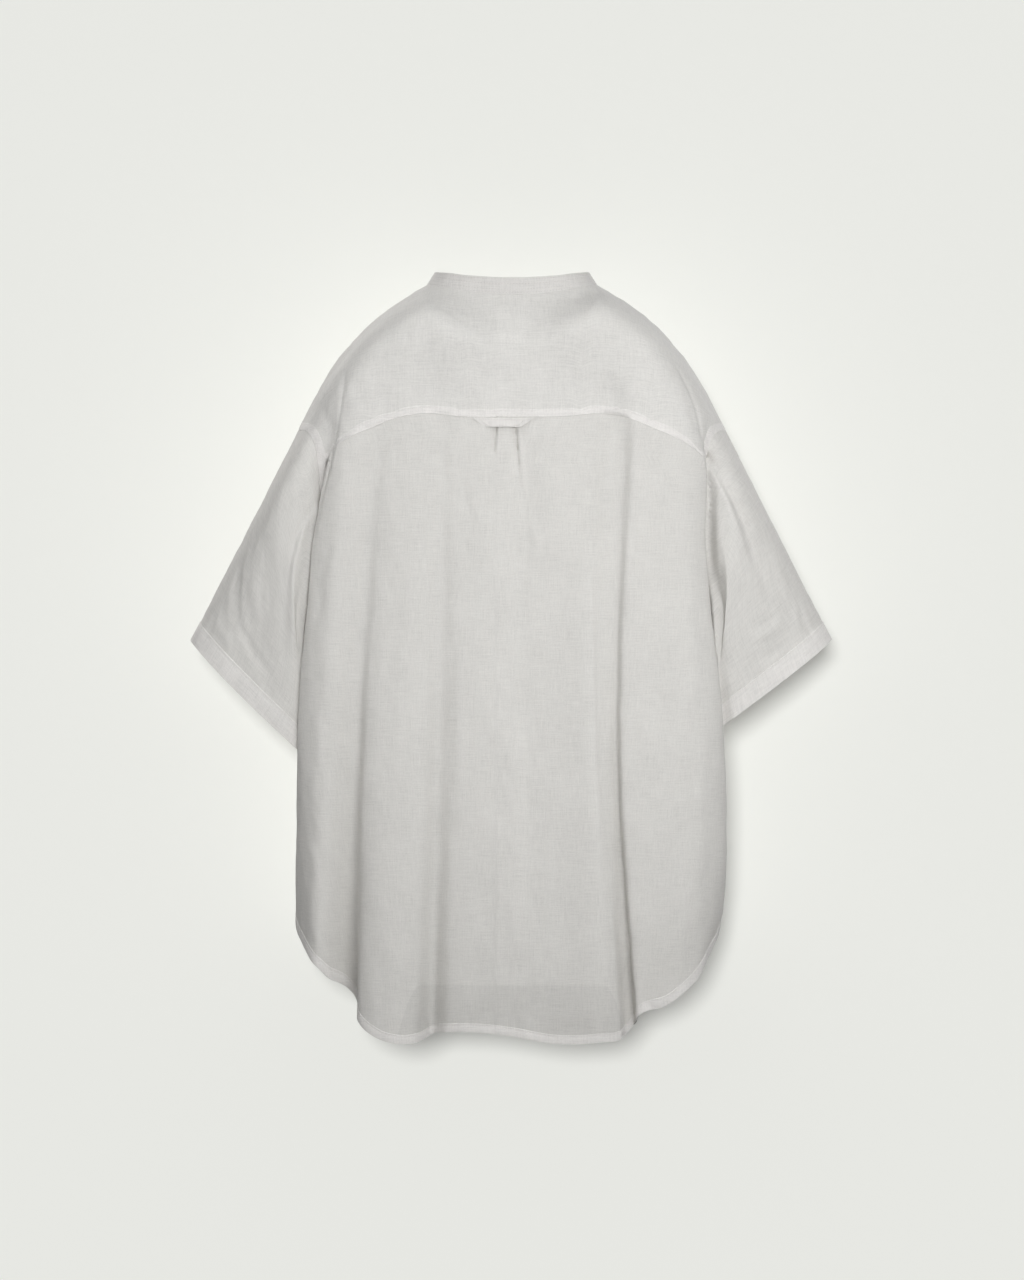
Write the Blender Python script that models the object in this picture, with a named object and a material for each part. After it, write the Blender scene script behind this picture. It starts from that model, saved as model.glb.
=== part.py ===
"""Mandarin collar shirt: an oversized linen shirt, hollow, as it hangs from a wearer's neck and shoulders.

Frame: metres, +Z up, +X the wearer's left, the front faces -Y. The origin is the middle of the neck opening,
level with the collar seam at the back. All sizes below are in millimetres, and give the cloth's outer face.

Each cut piece is a grid of points on the cloth's outer face: columns run from left to right and rows from top
to bottom, as seen from outside. Neighbouring pieces share the points of their seam, so their walls are mitred
there.
"""

import math

import bpy
import numpy as np

MM = 0.001

# Cloth
WALL = 1.5
COLLAR_WALL = 2.4
SEAM_GAP = 0.3
LAY_GAP = 0.4  # between a panel and what is sewn on it

# Levels
LATTICE_TOP = -95.0
LATTICE_LOW = -800.0
LATTICE_STEP = 5.0
CHEST_Z = -195.0  # where the front's upper part becomes an upright wall
UNDERARM_Z = -370.0
SIDE_HEM_Z = -630.0
BACK_HEM_Z = -765.0
FRONT_HEM_Z = -714.0

# Hem: the share of the way from the middle to the side seam that is level, before the hem curves up
BACK_HEM_LEVEL = 0.40
FRONT_HEM_LEVEL = 0.30

FOLD_REACH = 55.0  # how far the back's folds run on up the yoke
YOKE_PULL = 1.35  # how far the yoke lies level behind the shoulders before it falls; 1 is a plain arch

# Yoke: how far its front edge lies beyond the shoulder ridge, at the neck and at the armhole
YOKE_DROP_NECK = (-9.0, -34.0, -18.0)
YOKE_DROP_ARM = (-9.0, -35.0, -30.0)
NECK_TO_FRONT_SEAM = 38.0  # along the neck seam, from the ridge to the front yoke seam

# Placket, buttons, loop, label
PLACKET_HALF = 15.0
PLACKET_WALL = 1.2
UNDERLAP = 3.8  # the right front lies this much under the left one
UNDERLAP_FROM = 20.0  # it starts to rise from under it this far from the middle,
UNDERLAP_OVER = 8.0  # and has risen this much further on
FRONT_STRAIGHT = 26.0  # the fronts' first columns fall straight from the neck up to here
BUTTON_RADIUS = 5.6
BUTTON_THICK = 2.2
BUTTON_LIFT = 0.6  # from the placket to the button's back
BUTTON_SIDES = 16
BUTTON_PROFILE = ((0.86, 0.0), (1.0, 0.25), (1.0, 0.75), (0.86, 1.0))  # shares of radius and thickness
BUTTON_TOP_Z = -92.0
BUTTON_PITCH = 92.0
BUTTON_COUNT = 7
LOOP_TOP = (41.0, -23.0)  # left and right end of the loop's upper edge
LOOP_LOW = (28.5, -9.5)
LOOP_TOP_Z = -129.6
LOOP_HEIGHT = 9.6
LOOP_WALL = 1.2
LOOP_BOW = 1.6
LOOP_TOP_BOW = 0.3  # the share of the bow that its upper edge has
LOOP_INSET = 4.0  # it is sewn down this far inside its ends
LABEL_HALF = 15.6
LABEL_TOP_Z = -14.0
LABEL_LOW_Z = -52.0
LABEL_WALL = 1.0
SLOPE_STEP = 1.5  # the reach over which the cloth's slope behind the label is taken

# Rows of the grids
YOKE_BACK_ROWS = 7
YOKE_FRONT_ROWS = 3
BACK_UPPER_ROWS = 9  # down to the underarm
FRONT_ARCH_ROWS = 4
FRONT_UPPER_ROWS = 5
LOWER_ROWS = 10
SLEEVE_ROWS = 8
COLLAR_ROWS = 2
TUCK_STEPS = 2  # columns from a side seam to the tuck beside it, and on to the roll
SIDE_STEPS = 3  # and on to the first fold

# Directions in which the cloth leaves a seam, for the wearer's left
FRONT_FALL = np.array((-0.10, -0.65, -0.75))  # front yoke seam
NECK_FALL = np.array((0.0, -0.50, -0.86))  # middle of the neck's front
BACK_NECK_FALL = np.array((0.0, 0.72, -0.70))  # middle of the neck's back
RIDGE_FALL = np.array((0.0, 1.0, 0.0))  # shoulder ridge, towards the back
SLEEVE_TOP_FALL = np.array((0.455, 0.0, -0.89))
SLEEVE_UNDER_FALL = np.array((0.95, 0.0, -0.30))
SLEEVE_HEM_FALL = np.array((0.12, 0.0, -1.0))
SLEEVE_SPREAD = np.array((0.0, 0.12, 0.0))  # added at the sleeve's front and back
SLEEVE_BOW = np.array((0.69, 0.0, -0.72))  # the way in which its hem bows

SIDES = ("left", "right")
SQUARENESS = 3.5  # of the body's sections; 2 is an ellipse
UPPER_BUNCH = 1.2  # the back's upper rows stand closer below the yoke seam
SHARPEST_MITRE = 0.6  # walls meeting at a seam are thickened by no more than 1 / this


def table(columns, *rows):
    """A short table: each column's name with its values."""
    return dict(zip(columns.split(), np.array(rows, float).T))


# Where the cloth rounds to the sides (left and right), and how far out its middle stands, at each height
BACK_FORM = table(
    "z left_x left_y right_x right_y middle_y",
    (-95, 180, 77, 190, 75, 84),
    (-150, 186, 77, 199, 76, 92),
    (-187, 192, 77, 203, 77, 95),
    (-250, 205, 77, 206, 77, 98),
    (-317, 211, 77, 208, 77, 100),
    (-388, 216, 76, 211, 76, 101),
    (-463, 220, 74, 217, 74, 102),
    (-560, 222, 68, 221, 68, 104),
    (-640, 222, 62, 217, 63, 106),
    (-700, 221, 58, 205, 60, 107),
    (-800, 221, 54, 200, 56, 108),
)

FRONT_FORM = table(
    "z left_x left_y right_x right_y middle_y",
    (-190, 198, -80, 199, -80, -112),
    (-250, 206, -78, 206, -78, -120),
    (-317, 211, -75, 209, -75, -125),
    (-388, 216, -72, 212, -72, -128),
    (-463, 220, -68, 218, -68, -130),
    (-560, 222, -60, 221, -60, -131),
    (-640, 222, -54, 218, -54, -132),
    (-800, 220, -48, 213, -48, -133),
)

# The armhole seam down the back and down the front, and the side seam below the underarm. The sleeve hangs
# against the body there and pushes the side seam in.
BACK_ARMHOLE = table(
    "z x y",
    (-185, 200, 60),
    (-235, 195, 58),
    (-290, 194, 50),
    (-335, 195, 32),
    (-370, 197, 6),
)
FRONT_ARMHOLE = table(
    "z x y",
    (-168, 213, -40),
    (-195, 207, -54),
    (-240, 204, -61),
    (-295, 200, -50),
    (-338, 198, -30),
    (-370, 197, 6),
)
SIDE_SEAM = table(
    "z x y",
    (-370, 197, 6),
    (-420, 191, 0),
    (-463, 190, -4),
    (-500, 195, -7),
    (-560, 210, -10),
    (-600, 216, -10),
    (-640, 220, -10),
)

# How far the body's cloth tucks in beside the sleeve, between that seam and the roll where it rounds to the side
SIDE_TUCK = table(
    "z in",
    (-185, 1),
    (-235, 6),
    (-317, 9),
    (-463, 11),
    (-520, 5),
    (-600, -1),
    (-640, -1),
)
TUCK_SHARE = 0.3  # how far it lies from the roll to the seam, in depth

# Folds: a row for each crest or valley, from left to right as seen from outside. x is its place across the
# body and out its height above the plain form: under the yoke, at the waist and at the hem. steps is how many
# columns there are from this row to the next one, and the last row's is to the piece's edge.
FOLD_COLUMNS = "x_top x_mid x_hem out_top out_mid out_hem steps"
FOLD_LEVELS = (-150.0, -450.0, -760.0)

BACK_FOLDS = table(
    FOLD_COLUMNS,
    (174, 194, 202, 0, 1, 1, 3),  # left flank
    (138, 160, 167, -2, -11, -29, 2),  # floor of the left valley
    (128, 149, 158, -1, -2, 0, 2),  # its inner edge
    (106, 120, 134, 1, 5, 12, 2),  # left crest
    (86, 90, 102, 1, 3, 7, 2),  # its inner side, at the neck's corner
    (67, 68, 78, -3, -9, -17, 2),  # floor of the middle valley
    (55, 53, 58, 1, 1, -5, 2),  # its steeper right wall
    (28, 28, 30, 1, 1, -2, 1),
    (18, 19, 20, 0, 0, -2, 1),  # left pleat line
    (12, 13, 14, 0, 0, -1, 2),
    (4, 4, 4, 0, 0, 0, 1),
    (-3, -3, -4, 0, 0, 1, 1),  # right pleat line
    (-10, -11, -12, 0, 0, 2, 3),
    (-45, -45, -45, 1, 2, 1, 2),
    (-78, -84, -94, 2, 6, 9, 2),  # right crest
    (-94, -103, -117, 1, 4, 5, 2),  # its edge above the deep groove
    (-106, -113, -121, -3, -7, -20, 1),  # floor of the deep groove
    (-111, -117, -128, -4, -8, -21, 2),
    (-113, -116, -129, 1, 4, 1, 2),  # the groove's far edge, which stands up over it
    (-128, -136, -146, 2, 5, 3, 3),  # right roll
    (-176, -192, -188, 1, 3, 1, 3),  # right flank
)
LEFT_NECK_FOLD = 4  # the rows of BACK_FOLDS whose columns run to the neck's corners
RIGHT_NECK_FOLD = 14

# Box pleat under the loop: the row of BACK_FOLDS that each line follows, its depth and how low it reaches
PLEAT_LINES = ((8, 2.4, -190.0), (11, 3.2, -226.0))
PLEAT_TOP_Z = -130.0
PLEAT_START = 14.0  # it is pressed flat into the yoke seam, and full this far below it

RIGHT_FRONT_FOLDS = table(
    FOLD_COLUMNS,
    (-170, -184, -188, 0, 0, 0, 4),  # right flank
    (-138, -150, -158, -1, -6, -14, 5),  # outer valley
    (-106, -116, -124, 1, 4, 10, 3),  # outer crest
    (-78, -80, -82, -1, -4, -9, 2),  # inner valley, at the front yoke seam's neck end
    (-50, -50, -50, 1, 2, 4, 2),
    (-28, -28, -28, 0, 0, 0, 1),
    (-20, -20, -20, -UNDERLAP, -UNDERLAP, -UNDERLAP, 3),
    (14, 14, 14, -UNDERLAP, -UNDERLAP, -UNDERLAP, 0),  # edge under the left front
)
LEFT_FRONT_FOLDS = table(
    FOLD_COLUMNS,
    (-PLACKET_HALF, -PLACKET_HALF, -PLACKET_HALF, 0, 0, 0, 4),  # edge over the right front
    (PLACKET_HALF, PLACKET_HALF, PLACKET_HALF, 0, 0, 0, 1),
    (26, 26, 26, 0, 0, 0, 2),
    (52, 52, 52, 1, 2, 5, 2),
    (78, 80, 84, -1, -5, -12, 3),  # inner valley, at the front yoke seam's neck end
    (108, 114, 120, 1, 4, 9, 3),  # outer crest
    (140, 146, 152, -1, -5, -12, 3),  # outer valley
    (170, 184, 188, 0, 0, 0, 3),  # left flank
)
PLACKET_COLUMNS = 4  # the first columns of the left front, which the placket covers
FRONT_CORNER_FOLD = {"right": 3, "left": 4}  # the rows that run to the neck end of the front yoke seam

# Where the back hangs over the sleeves, above the armhole: the fold's place and depth on each side
SHOULDER_FOLD = table(
    "z left right left_deep right_deep",
    (-40, 164, 168, 0, 0),
    (-83, 173, 177, 2, 3),
    (-125, 179, 190, 4, 8),
    (-151, 183, 198, 5, 11),
    (-187, 191, 202, 5, 11),
    (-235, 198, 204, 3, 6),
    (-300, 205, 208, 0, 0),
)
SHOULDER_FOLD_OVER = 7.0  # it drops within this width
SHOULDER_FOLD_DEPTH = (8.0, 40.0)  # it starts and is full this far behind the shoulder ridge

# The back hem's waves: how far below its even curve it hangs
HEM_WAVE = table(
    "x drop",
    (190, 0),
    (166, -12),
    (155, -4),
    (140, 3),
    (127, 7),
    (106, 9),
    (94, 6),
    (82, 0),
    (66, -2),
    (12, 0),
    (-8, 3),
    (-42, 9),
    (-92, 7),
    (-114, 3),
    (-121, -4),
    (-130, -13),
    (-160, -6),
    (-190, 0),
)

# Seam between yoke and back: its height along the way from the middle to the armhole
YOKE_SEAM = table(
    "share z",
    (0.00, -129.0),
    (0.25, -128.5),
    (0.42, -125.5),
    (0.58, -131.0),
    (0.68, -140.0),
    (0.78, -149.0),
    (0.88, -162.0),
    (1.00, -185.0),
)

# Left half of the neck seam, from the middle of the back to the middle of the front
NECK = table(
    "x y z",
    (0, 42, 0),
    (44, 36, 3),
    (76, 20, 10.5),
    (86, 4, 13.5),
    (84, -12, 7),
    (76, -28, -6),
    (58, -44, -24),
    (32, -56, -42),
    (0, -61, -50),
)
NECK_CORNER = 3  # the row of NECK on the shoulder ridge

# Left shoulder ridge, from the neck to the armhole
RIDGE = table(
    "x y z",
    (86, 4, 13.5),
    (122, 2, -9),
    (145, 1, -26),
    (162, 0, -43),
    (178, -1, -59),
    (189, -2, -76),
    (208, -4, -109),
    (222, -5, -138),
)

# Rise of the collar band from the neck seam to its upper edge, from the back's middle to the front's
COLLAR_RISE = table(
    "share x y z",
    (0.00, 0, -8, 18.5),
    (0.24, -1, -9, 17),
    (0.42, -5, -15, 12),
    (0.70, -7, -4, 18),
    (1.00, 0, 3, 20.5),
)
COLLAR_END = 8.0  # the band's front corners are rounded over this length
COLLAR_END_RISE = 0.55  # the share of its height that is left at the very end

# Sleeve hems: their highest outer point, their lowest inner point, how deep they reach to the front and the back,
# and how far the hem bows
SLEEVES = {
    "left": dict(side=1, tip=(334.0, 0.0, -358.0), inner=(200.0, 0.0, -482.0), deep=(54.0, 62.0), bow=8.0),
    "right": dict(side=-1, tip=(333.0, 0.0, -358.0), inner=(200.0, 0.0, -455.0), deep=(54.0, 62.0), bow=5.0),
}
SLEEVE_SQUARENESS = 0.55  # of the back half of its hem's ring; 1 is an ellipse

LINEN = (0.80, 0.79, 0.76)
LINEN_LABEL = (0.86, 0.86, 0.84)
BUTTON_WHITE = (0.82, 0.80, 0.74)


# ---------------------------------------------------------------- curves


def unit(v):
    """Vectors scaled to length 1."""
    v = np.asarray(v, float)
    return v / np.maximum(np.linalg.norm(v, axis=-1, keepdims=True), 1e-12)


def spline(knots, steps, before=None, after=None):
    """Points on a smooth curve through the knots: steps[i] of them from knot i up to the next, then the last.

    before and after are the knots that the curve would go on to past its ends.
    """
    knots = np.asarray(knots, float)
    before = 2 * knots[0] - knots[1] if before is None else before
    after = 2 * knots[-1] - knots[-2] if after is None else after
    k = np.vstack([before, knots, after])
    gap = np.sqrt(np.maximum(np.linalg.norm(np.diff(k, axis=0), axis=1), 1e-6))
    points = []
    for i, count in enumerate(steps):
        p0, p1, p2, p3 = k[i : i + 4]
        d0, d1, d2 = gap[i : i + 3]
        m1 = (p1 - p0) / d0 - (p2 - p0) / (d0 + d1) + (p2 - p1) / d1
        m2 = (p2 - p1) / d1 - (p3 - p1) / (d1 + d2) + (p3 - p2) / d2
        t = (np.arange(int(count)) / max(int(count), 1))[:, None]
        points.append(hermite(p1, m1 * d1, p2, m2 * d1, t))
    return np.vstack(points + [knots[-1:]])


def hermite(p0, m0, p1, m1, t):
    """The cubic from p0 with velocity m0 to p1 with velocity m1."""
    t2, t3 = t * t, t * t * t
    return (2 * t3 - 3 * t2 + 1) * p0 + (t3 - 2 * t2 + t) * m0 + (3 * t2 - 2 * t3) * p1 + (t3 - t2) * m1


def arch(p0, d0, p1, d1, rows, pull=1.0):
    """rows + 1 points from p0, leaving along d0, to p1, arriving along d1; more pull bends it more at its middle."""
    chord = np.linalg.norm(p1 - p0) * pull
    t = np.linspace(0, 1, rows + 1)[:, None]
    return hermite(p0, unit(d0) * chord, p1, unit(d1) * chord, t)


def smooth_at(values, at, x):
    """The smooth curve through (at, values), read at x; at may rise or fall."""
    order = np.argsort(at)
    a, v = np.asarray(at)[order], np.asarray(values)[order]
    slope = np.gradient(v, a)
    x = np.clip(x, a[0], a[-1])
    i = np.clip(np.searchsorted(a, x) - 1, 0, len(a) - 2)
    h = a[i + 1] - a[i]
    return hermite(v[i], slope[i] * h, v[i + 1], slope[i + 1] * h, (x - a[i]) / h)


def lengths(points):
    """How far along a line of points each one lies."""
    return np.concatenate([[0], np.cumsum(np.linalg.norm(np.diff(points, axis=0), axis=1))])


def along(points, at):
    """The points of a line at the distances in at."""
    s = lengths(points)
    return np.stack([np.interp(at, s, points[:, k]) for k in range(points.shape[1])], axis=-1)


def ease(t):
    """0 to 1, starting and ending level."""
    t = np.clip(t, 0, 1)
    return t * t * (3 - 2 * t)


# ---------------------------------------------------------------- body sections


def plain_form(x, side_x, side_y, middle_y):
    """A point of the plain, unfolded form of one half of a section at x, and its outward direction."""
    depth = middle_y - side_y
    share = min(abs(x) / side_x, 0.995)
    rest = (1 - share**SQUARENESS) ** (1 / SQUARENESS)
    slope = abs(depth) / side_x * share ** (SQUARENESS - 1) * rest ** (1 - SQUARENESS)
    normal = unit((math.copysign(slope, x), math.copysign(1, depth)))
    return np.array((x, side_y + depth * rest)), normal


def fold_at(folds, row, kind, z):
    """The place ("x") or height ("out") of one fold at height z."""
    return smooth_at([folds[f"{kind}_{level}"][row] for level in ("top", "mid", "hem")], FOLD_LEVELS, z)


def pleat_depth(row, z, pleats):
    """How deep the pleat lines press one fold's row in at height z."""
    started = ease((PLEAT_TOP_Z - z) / PLEAT_START)
    lines = [(deep, low) for at, deep, low in pleats if at == row]
    return started * sum(deep * ease((z - low) / (PLEAT_TOP_Z - low)) for deep, low in lines)


def side_knots(z, level, armhole, side):
    """The knots from a side's seam inwards: the seam, the tuck, and the roll where the cloth rounds to the side."""
    line = SIDE_SEAM if z <= UNDERARM_Z else armhole
    mirror = np.array((1 if side == "left" else -1, 1))
    seam = np.array([smooth_at(line[axis], line["z"], z) for axis in "xy"])
    roll = np.array((level[side + "_x"], level[side + "_y"]))
    tuck = (roll[0] - smooth_at(SIDE_TUCK["in"], SIDE_TUCK["z"], z), roll[1] + TUCK_SHARE * (seam[1] - roll[1]))
    return [seam * mirror, tuck * mirror, roll * mirror]


class Body:
    """The upright cloth of one body piece: its sections at close heights.

    first and last name the sides whose seam is its first and last column. Seen from outside, the back runs
    from the wearer's left to the right, and a front from the right to the left.
    """

    def __init__(self, form, folds, armhole, first=None, last=None, pleats=()):
        self.form, self.folds, self.armhole, self.pleats = form, folds, armhole, pleats
        self.first, self.last = first, last
        steps = [int(s) for s in folds["steps"]]
        steps = [TUCK_STEPS, TUCK_STEPS, SIDE_STEPS] * bool(first) + steps + [TUCK_STEPS, TUCK_STEPS] * bool(last)
        steps = steps if last else steps[:-1]
        self.knot_column = np.concatenate([[0], np.cumsum(steps)])[3 if first else 0 :]
        self.heights = np.arange(LATTICE_TOP, LATTICE_LOW - 1, -LATTICE_STEP)
        self.rows = np.array([spline(self.section(z), steps) for z in self.heights])
        self.count = self.rows.shape[1]

    def section(self, z):
        """The knots of its section at height z, from its first to its last column."""
        level = {name: smooth_at(self.form[name], self.form["z"], z) for name in self.form if name != "z"}
        knots = side_knots(z, level, self.armhole, self.first) if self.first else []
        for row in range(len(self.folds["steps"])):
            x = fold_at(self.folds, row, "x", z)
            side = "left" if x > 0 else "right"
            point, normal = plain_form(x, level[side + "_x"], level[side + "_y"], level["middle_y"])
            out = fold_at(self.folds, row, "out", z) - pleat_depth(row, z, self.pleats)
            knots.append(point + normal * out)
        knots += side_knots(z, level, self.armhole, self.last)[::-1] if self.last else []
        return np.array(knots)

    def at(self, z):
        """The points at the heights z, one for each column."""
        z = np.broadcast_to(z, (self.count,)).astype(float)
        x = [np.interp(-z[i], -self.heights, self.rows[:, i, 0]) for i in range(self.count)]
        y = [np.interp(-z[i], -self.heights, self.rows[:, i, 1]) for i in range(self.count)]
        return np.stack([x, y, z], axis=-1)

    def down(self, z):
        """The downward direction of the cloth at the heights z."""
        return unit(self.at(np.asarray(z) - LATTICE_STEP) - self.at(z))


def from_middle(points):
    """How far each column lies from the body's middle along the cloth, negative before it."""
    s = lengths(points[:, :2])
    nearest = np.argmin(np.abs(points[:, 0]))
    return s - s[nearest] + points[nearest, 0] * np.sign(points[-1, 0] - points[0, 0])


def share_from_middle(points):
    """The same as a share of the way to the side."""
    d = from_middle(points)
    half = 0.5 * max(-d[0], d[-1])
    return np.where(d < 0, -d / max(-d[0], half), d / max(d[-1], half))


def hem_height(body, middle_z, level_share):
    """The hem's height at each column: level in the middle, then curving up to the side seam."""
    z = np.full(body.count, middle_z)
    for _ in range(4):
        rise = (share_from_middle(body.at(z)) - level_share) / (1 - level_share)
        z = middle_z + (SIDE_HEM_Z - middle_z) * (1 - np.cos(math.pi * np.clip(rise, 0, 1))) / 2
    return z


def hung_over(grid):
    """A grid with the shoulder folds in it: beyond each fold's line the cloth drops towards the front."""
    x, y, z = np.moveaxis(grid, -1, 0)
    fold = {name: np.interp(-z, -SHOULDER_FOLD["z"], values) for name, values in SHOULDER_FOLD.items()}
    beyond = ease((np.abs(x) - np.where(x > 0, fold["left"], fold["right"])) / SHOULDER_FOLD_OVER)
    deep = np.where(x > 0, fold["left_deep"], fold["right_deep"])
    start, full = SHOULDER_FOLD_DEPTH
    moved = grid.copy()
    moved[..., 1] -= deep * beyond * ease((y - start) / (full - start))
    return moved


def hang(body, top_z, hem_z, upper_rows, edge_top_z, bunch=1.0):
    """The grid of a body piece between two lines, with a row at the underarm and the same rows below it."""
    underarm = (edge_top_z - UNDERARM_Z) / (edge_top_z - SIDE_HEM_Z)
    upper = underarm * np.linspace(0, 1, upper_rows + 1) ** bunch
    lower = underarm + (1 - underarm) * np.linspace(0, 1, LOWER_ROWS + 1)
    return np.array([body.at(top_z + (hem_z - top_z) * v) for v in [*upper, *lower[1:]]])


# ---------------------------------------------------------------- outer faces of the pieces


def half_line(rows, mirrored_before=False, mirrored_after=False, fine=16):
    """A dense smooth line through a table's x, y and z, which meets its mirror image smoothly where asked."""
    knots = np.stack([rows["x"], rows["y"], rows["z"]], axis=1)
    flip = np.array((-1, 1, 1))
    before = knots[1] * flip if mirrored_before else None
    after = knots[-2] * flip if mirrored_after else None
    return spline(knots, [fine] * (len(knots) - 1), before, after), fine


class Neck:
    """The neck seam, read by the distance from the back's middle: positive on the wearer's left."""

    def __init__(self):
        self.line, fine = half_line(NECK, mirrored_before=True, mirrored_after=True)
        s = lengths(self.line)
        self.half = s[-1]
        self.corner = s[NECK_CORNER * fine]
        self.front_seam = self.corner + NECK_TO_FRONT_SEAM

    def at(self, distance):
        distance = np.atleast_1d(np.asarray(distance, float))
        wrapped = np.abs(distance)
        past = wrapped > self.half
        points = along(self.line, np.where(past, 2 * self.half - wrapped, wrapped))
        points[:, 0] *= np.sign(distance) * np.where(past, -1, 1)
        return points


def yoke_grid(back, unfolded, seam_z, neck):
    """The yoke from its front seam over the shoulders to the back seam, and its columns at the neck's ends.

    unfolded is the back without its folds, which die out on the yoke.
    """
    seam, plain = back.at(seam_z), unfolded.at(seam_z)
    ridge, _ = half_line(RIDGE)
    ridge_length = lengths(ridge)[-1]
    corners = back.knot_column[LEFT_NECK_FOLD], back.knot_column[RIGHT_NECK_FOLD]
    d = from_middle(seam)
    down = unfolded.down(seam_z)
    grid = np.zeros((YOKE_FRONT_ROWS + YOKE_BACK_ROWS + 1, back.count, 3))
    for i in range(back.count):
        corner, end, sign = (corners[0], 0, 1) if d[i] < 0 else (corners[1], back.count - 1, -1)
        side = np.array((sign, 1, 1))
        if corners[0] <= i <= corners[1]:
            share = d[i] / d[corner]
            top = neck.at(sign * neck.corner * share)[0]
            leave = (1 - share) * BACK_NECK_FALL + share * RIDGE_FALL
            front = neck.at(sign * np.linspace(neck.front_seam, neck.corner, YOKE_FRONT_ROWS + 1))
        else:
            share = (d[i] - d[corner]) / (d[end] - d[corner])
            top = along(ridge, [share * ridge_length])[0] * side
            leave = RIDGE_FALL
            drop = (1 - share) * np.array(YOKE_DROP_NECK) + share * np.array(YOKE_DROP_ARM)
            front = arch(top + drop * side, -FRONT_FALL * side, top, leave, YOKE_FRONT_ROWS)
        grid[: YOKE_FRONT_ROWS + 1, i] = front
        smooth = arch(top, leave, plain[i], down[i], YOKE_BACK_ROWS, YOKE_PULL)
        s = lengths(smooth)
        folded = ease(1 - (s[-1] - s) / FOLD_REACH)[:, None]
        grid[YOKE_FRONT_ROWS:, i] = smooth + (seam[i] - plain[i]) * folded
    return grid, corners


def front_grid(body, corner, yoke_edge, neck, sign, underlap):
    """A front: its upper part arched from the neck and yoke seam, and the upright cloth below it."""
    chest = body.at(CHEST_Z)
    d = np.abs(from_middle(chest)) * np.where(chest[:, 0] * sign >= 0, 1, -1)
    reach = neck.half - neck.front_seam
    straight = [-FRONT_STRAIGHT, FRONT_STRAIGHT]
    along_neck = np.interp(d, [*straight, d[corner]], [*straight, reach])
    on_neck = np.arange(body.count) < corner if sign > 0 else np.arange(body.count) > corner
    top = neck.at(sign * (neck.half - along_neck))
    top[:, 1] += underlap * (1 - ease((d - UNDERLAP_FROM) / UNDERLAP_OVER))
    top[~on_neck] = yoke_edge
    share = np.clip(d / d[corner], 0, 1)[:, None]
    leave = (1 - share) * NECK_FALL + share * FRONT_FALL * (sign, 1, 1)
    down = body.down(CHEST_Z)
    arches = [arch(top[j], leave[j], chest[j], down[j], FRONT_ARCH_ROWS) for j in range(body.count)]
    lower = hang(body, CHEST_Z, hem_height(body, FRONT_HEM_Z, FRONT_HEM_LEVEL), FRONT_UPPER_ROWS, CHEST_Z)
    return np.vstack([np.stack(arches, axis=1), lower[1:]])


def sleeve_grid(ring, side, tip, inner, deep, bow):
    """A sleeve from the ring of armhole points, which starts and ends at the underarm, to its hem."""
    s = lengths(ring)
    top = np.argmax(ring[:, 2])
    before_top = s < s[top]
    angle = math.pi * np.where(before_top, 1 - s / s[top], (s - s[top]) / (s[-1] - s[top]))
    behind = np.where(before_top, -side, side)
    flip = np.array((side, 1, 1))
    tip, inner = np.array(tip), np.array(inner)
    middle, reach = (tip + inner) / 2, (tip - inner) / 2
    grid = np.zeros((SLEEVE_ROWS + 1, len(ring), 3))
    for k, (a, turn) in enumerate(zip(angle, behind)):
        across = turn * math.sin(a) ** (SLEEVE_SQUARENESS if turn > 0 else 1)
        reach_y = np.array((0, across * (deep[1] if turn > 0 else deep[0]), 0))
        hem = middle + reach * math.cos(a) + reach_y + SLEEVE_BOW * bow * abs(across)
        low = (1 - math.cos(a)) / 2
        leave = (1 - low) * SLEEVE_TOP_FALL + low * SLEEVE_UNDER_FALL + SLEEVE_SPREAD * across
        arrive = (1 - low) * SLEEVE_TOP_FALL + low * SLEEVE_HEM_FALL
        grid[:, k] = arch(ring[k], leave * flip, hem * flip, arrive * flip, SLEEVE_ROWS)
    return grid


def collar_grid(seam, neck_distance, neck):
    """The band, standing up from the neck seam, with rounded front corners."""
    share = np.abs(neck_distance) / neck.half
    rise = np.stack([smooth_at(COLLAR_RISE[k], COLLAR_RISE["share"], share) for k in "xyz"], axis=-1)
    rise[:, 0] *= np.sign(neck_distance)
    s = lengths(seam)
    to_end = np.clip(np.minimum(s, s[-1] - s) / COLLAR_END, 0, 1)
    rise *= (COLLAR_END_RISE + (1 - COLLAR_END_RISE) * np.sqrt(1 - (1 - to_end) ** 2))[:, None]
    return np.array([seam + rise * v for v in np.linspace(1, 0, COLLAR_ROWS + 1)])


# ---------------------------------------------------------------- walls


def cells(grid, skip=lambda row, column: False):
    """The quads of a grid, as indices into its flattened points, facing out."""
    rows, columns = grid.shape[:2]
    quads = []
    for i in range(rows - 1):
        for j in range(columns - 1):
            if not skip(i, j):
                a = i * columns + j
                quads.append((a, a + columns, a + columns + 1, a + 1))
    return quads


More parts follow.
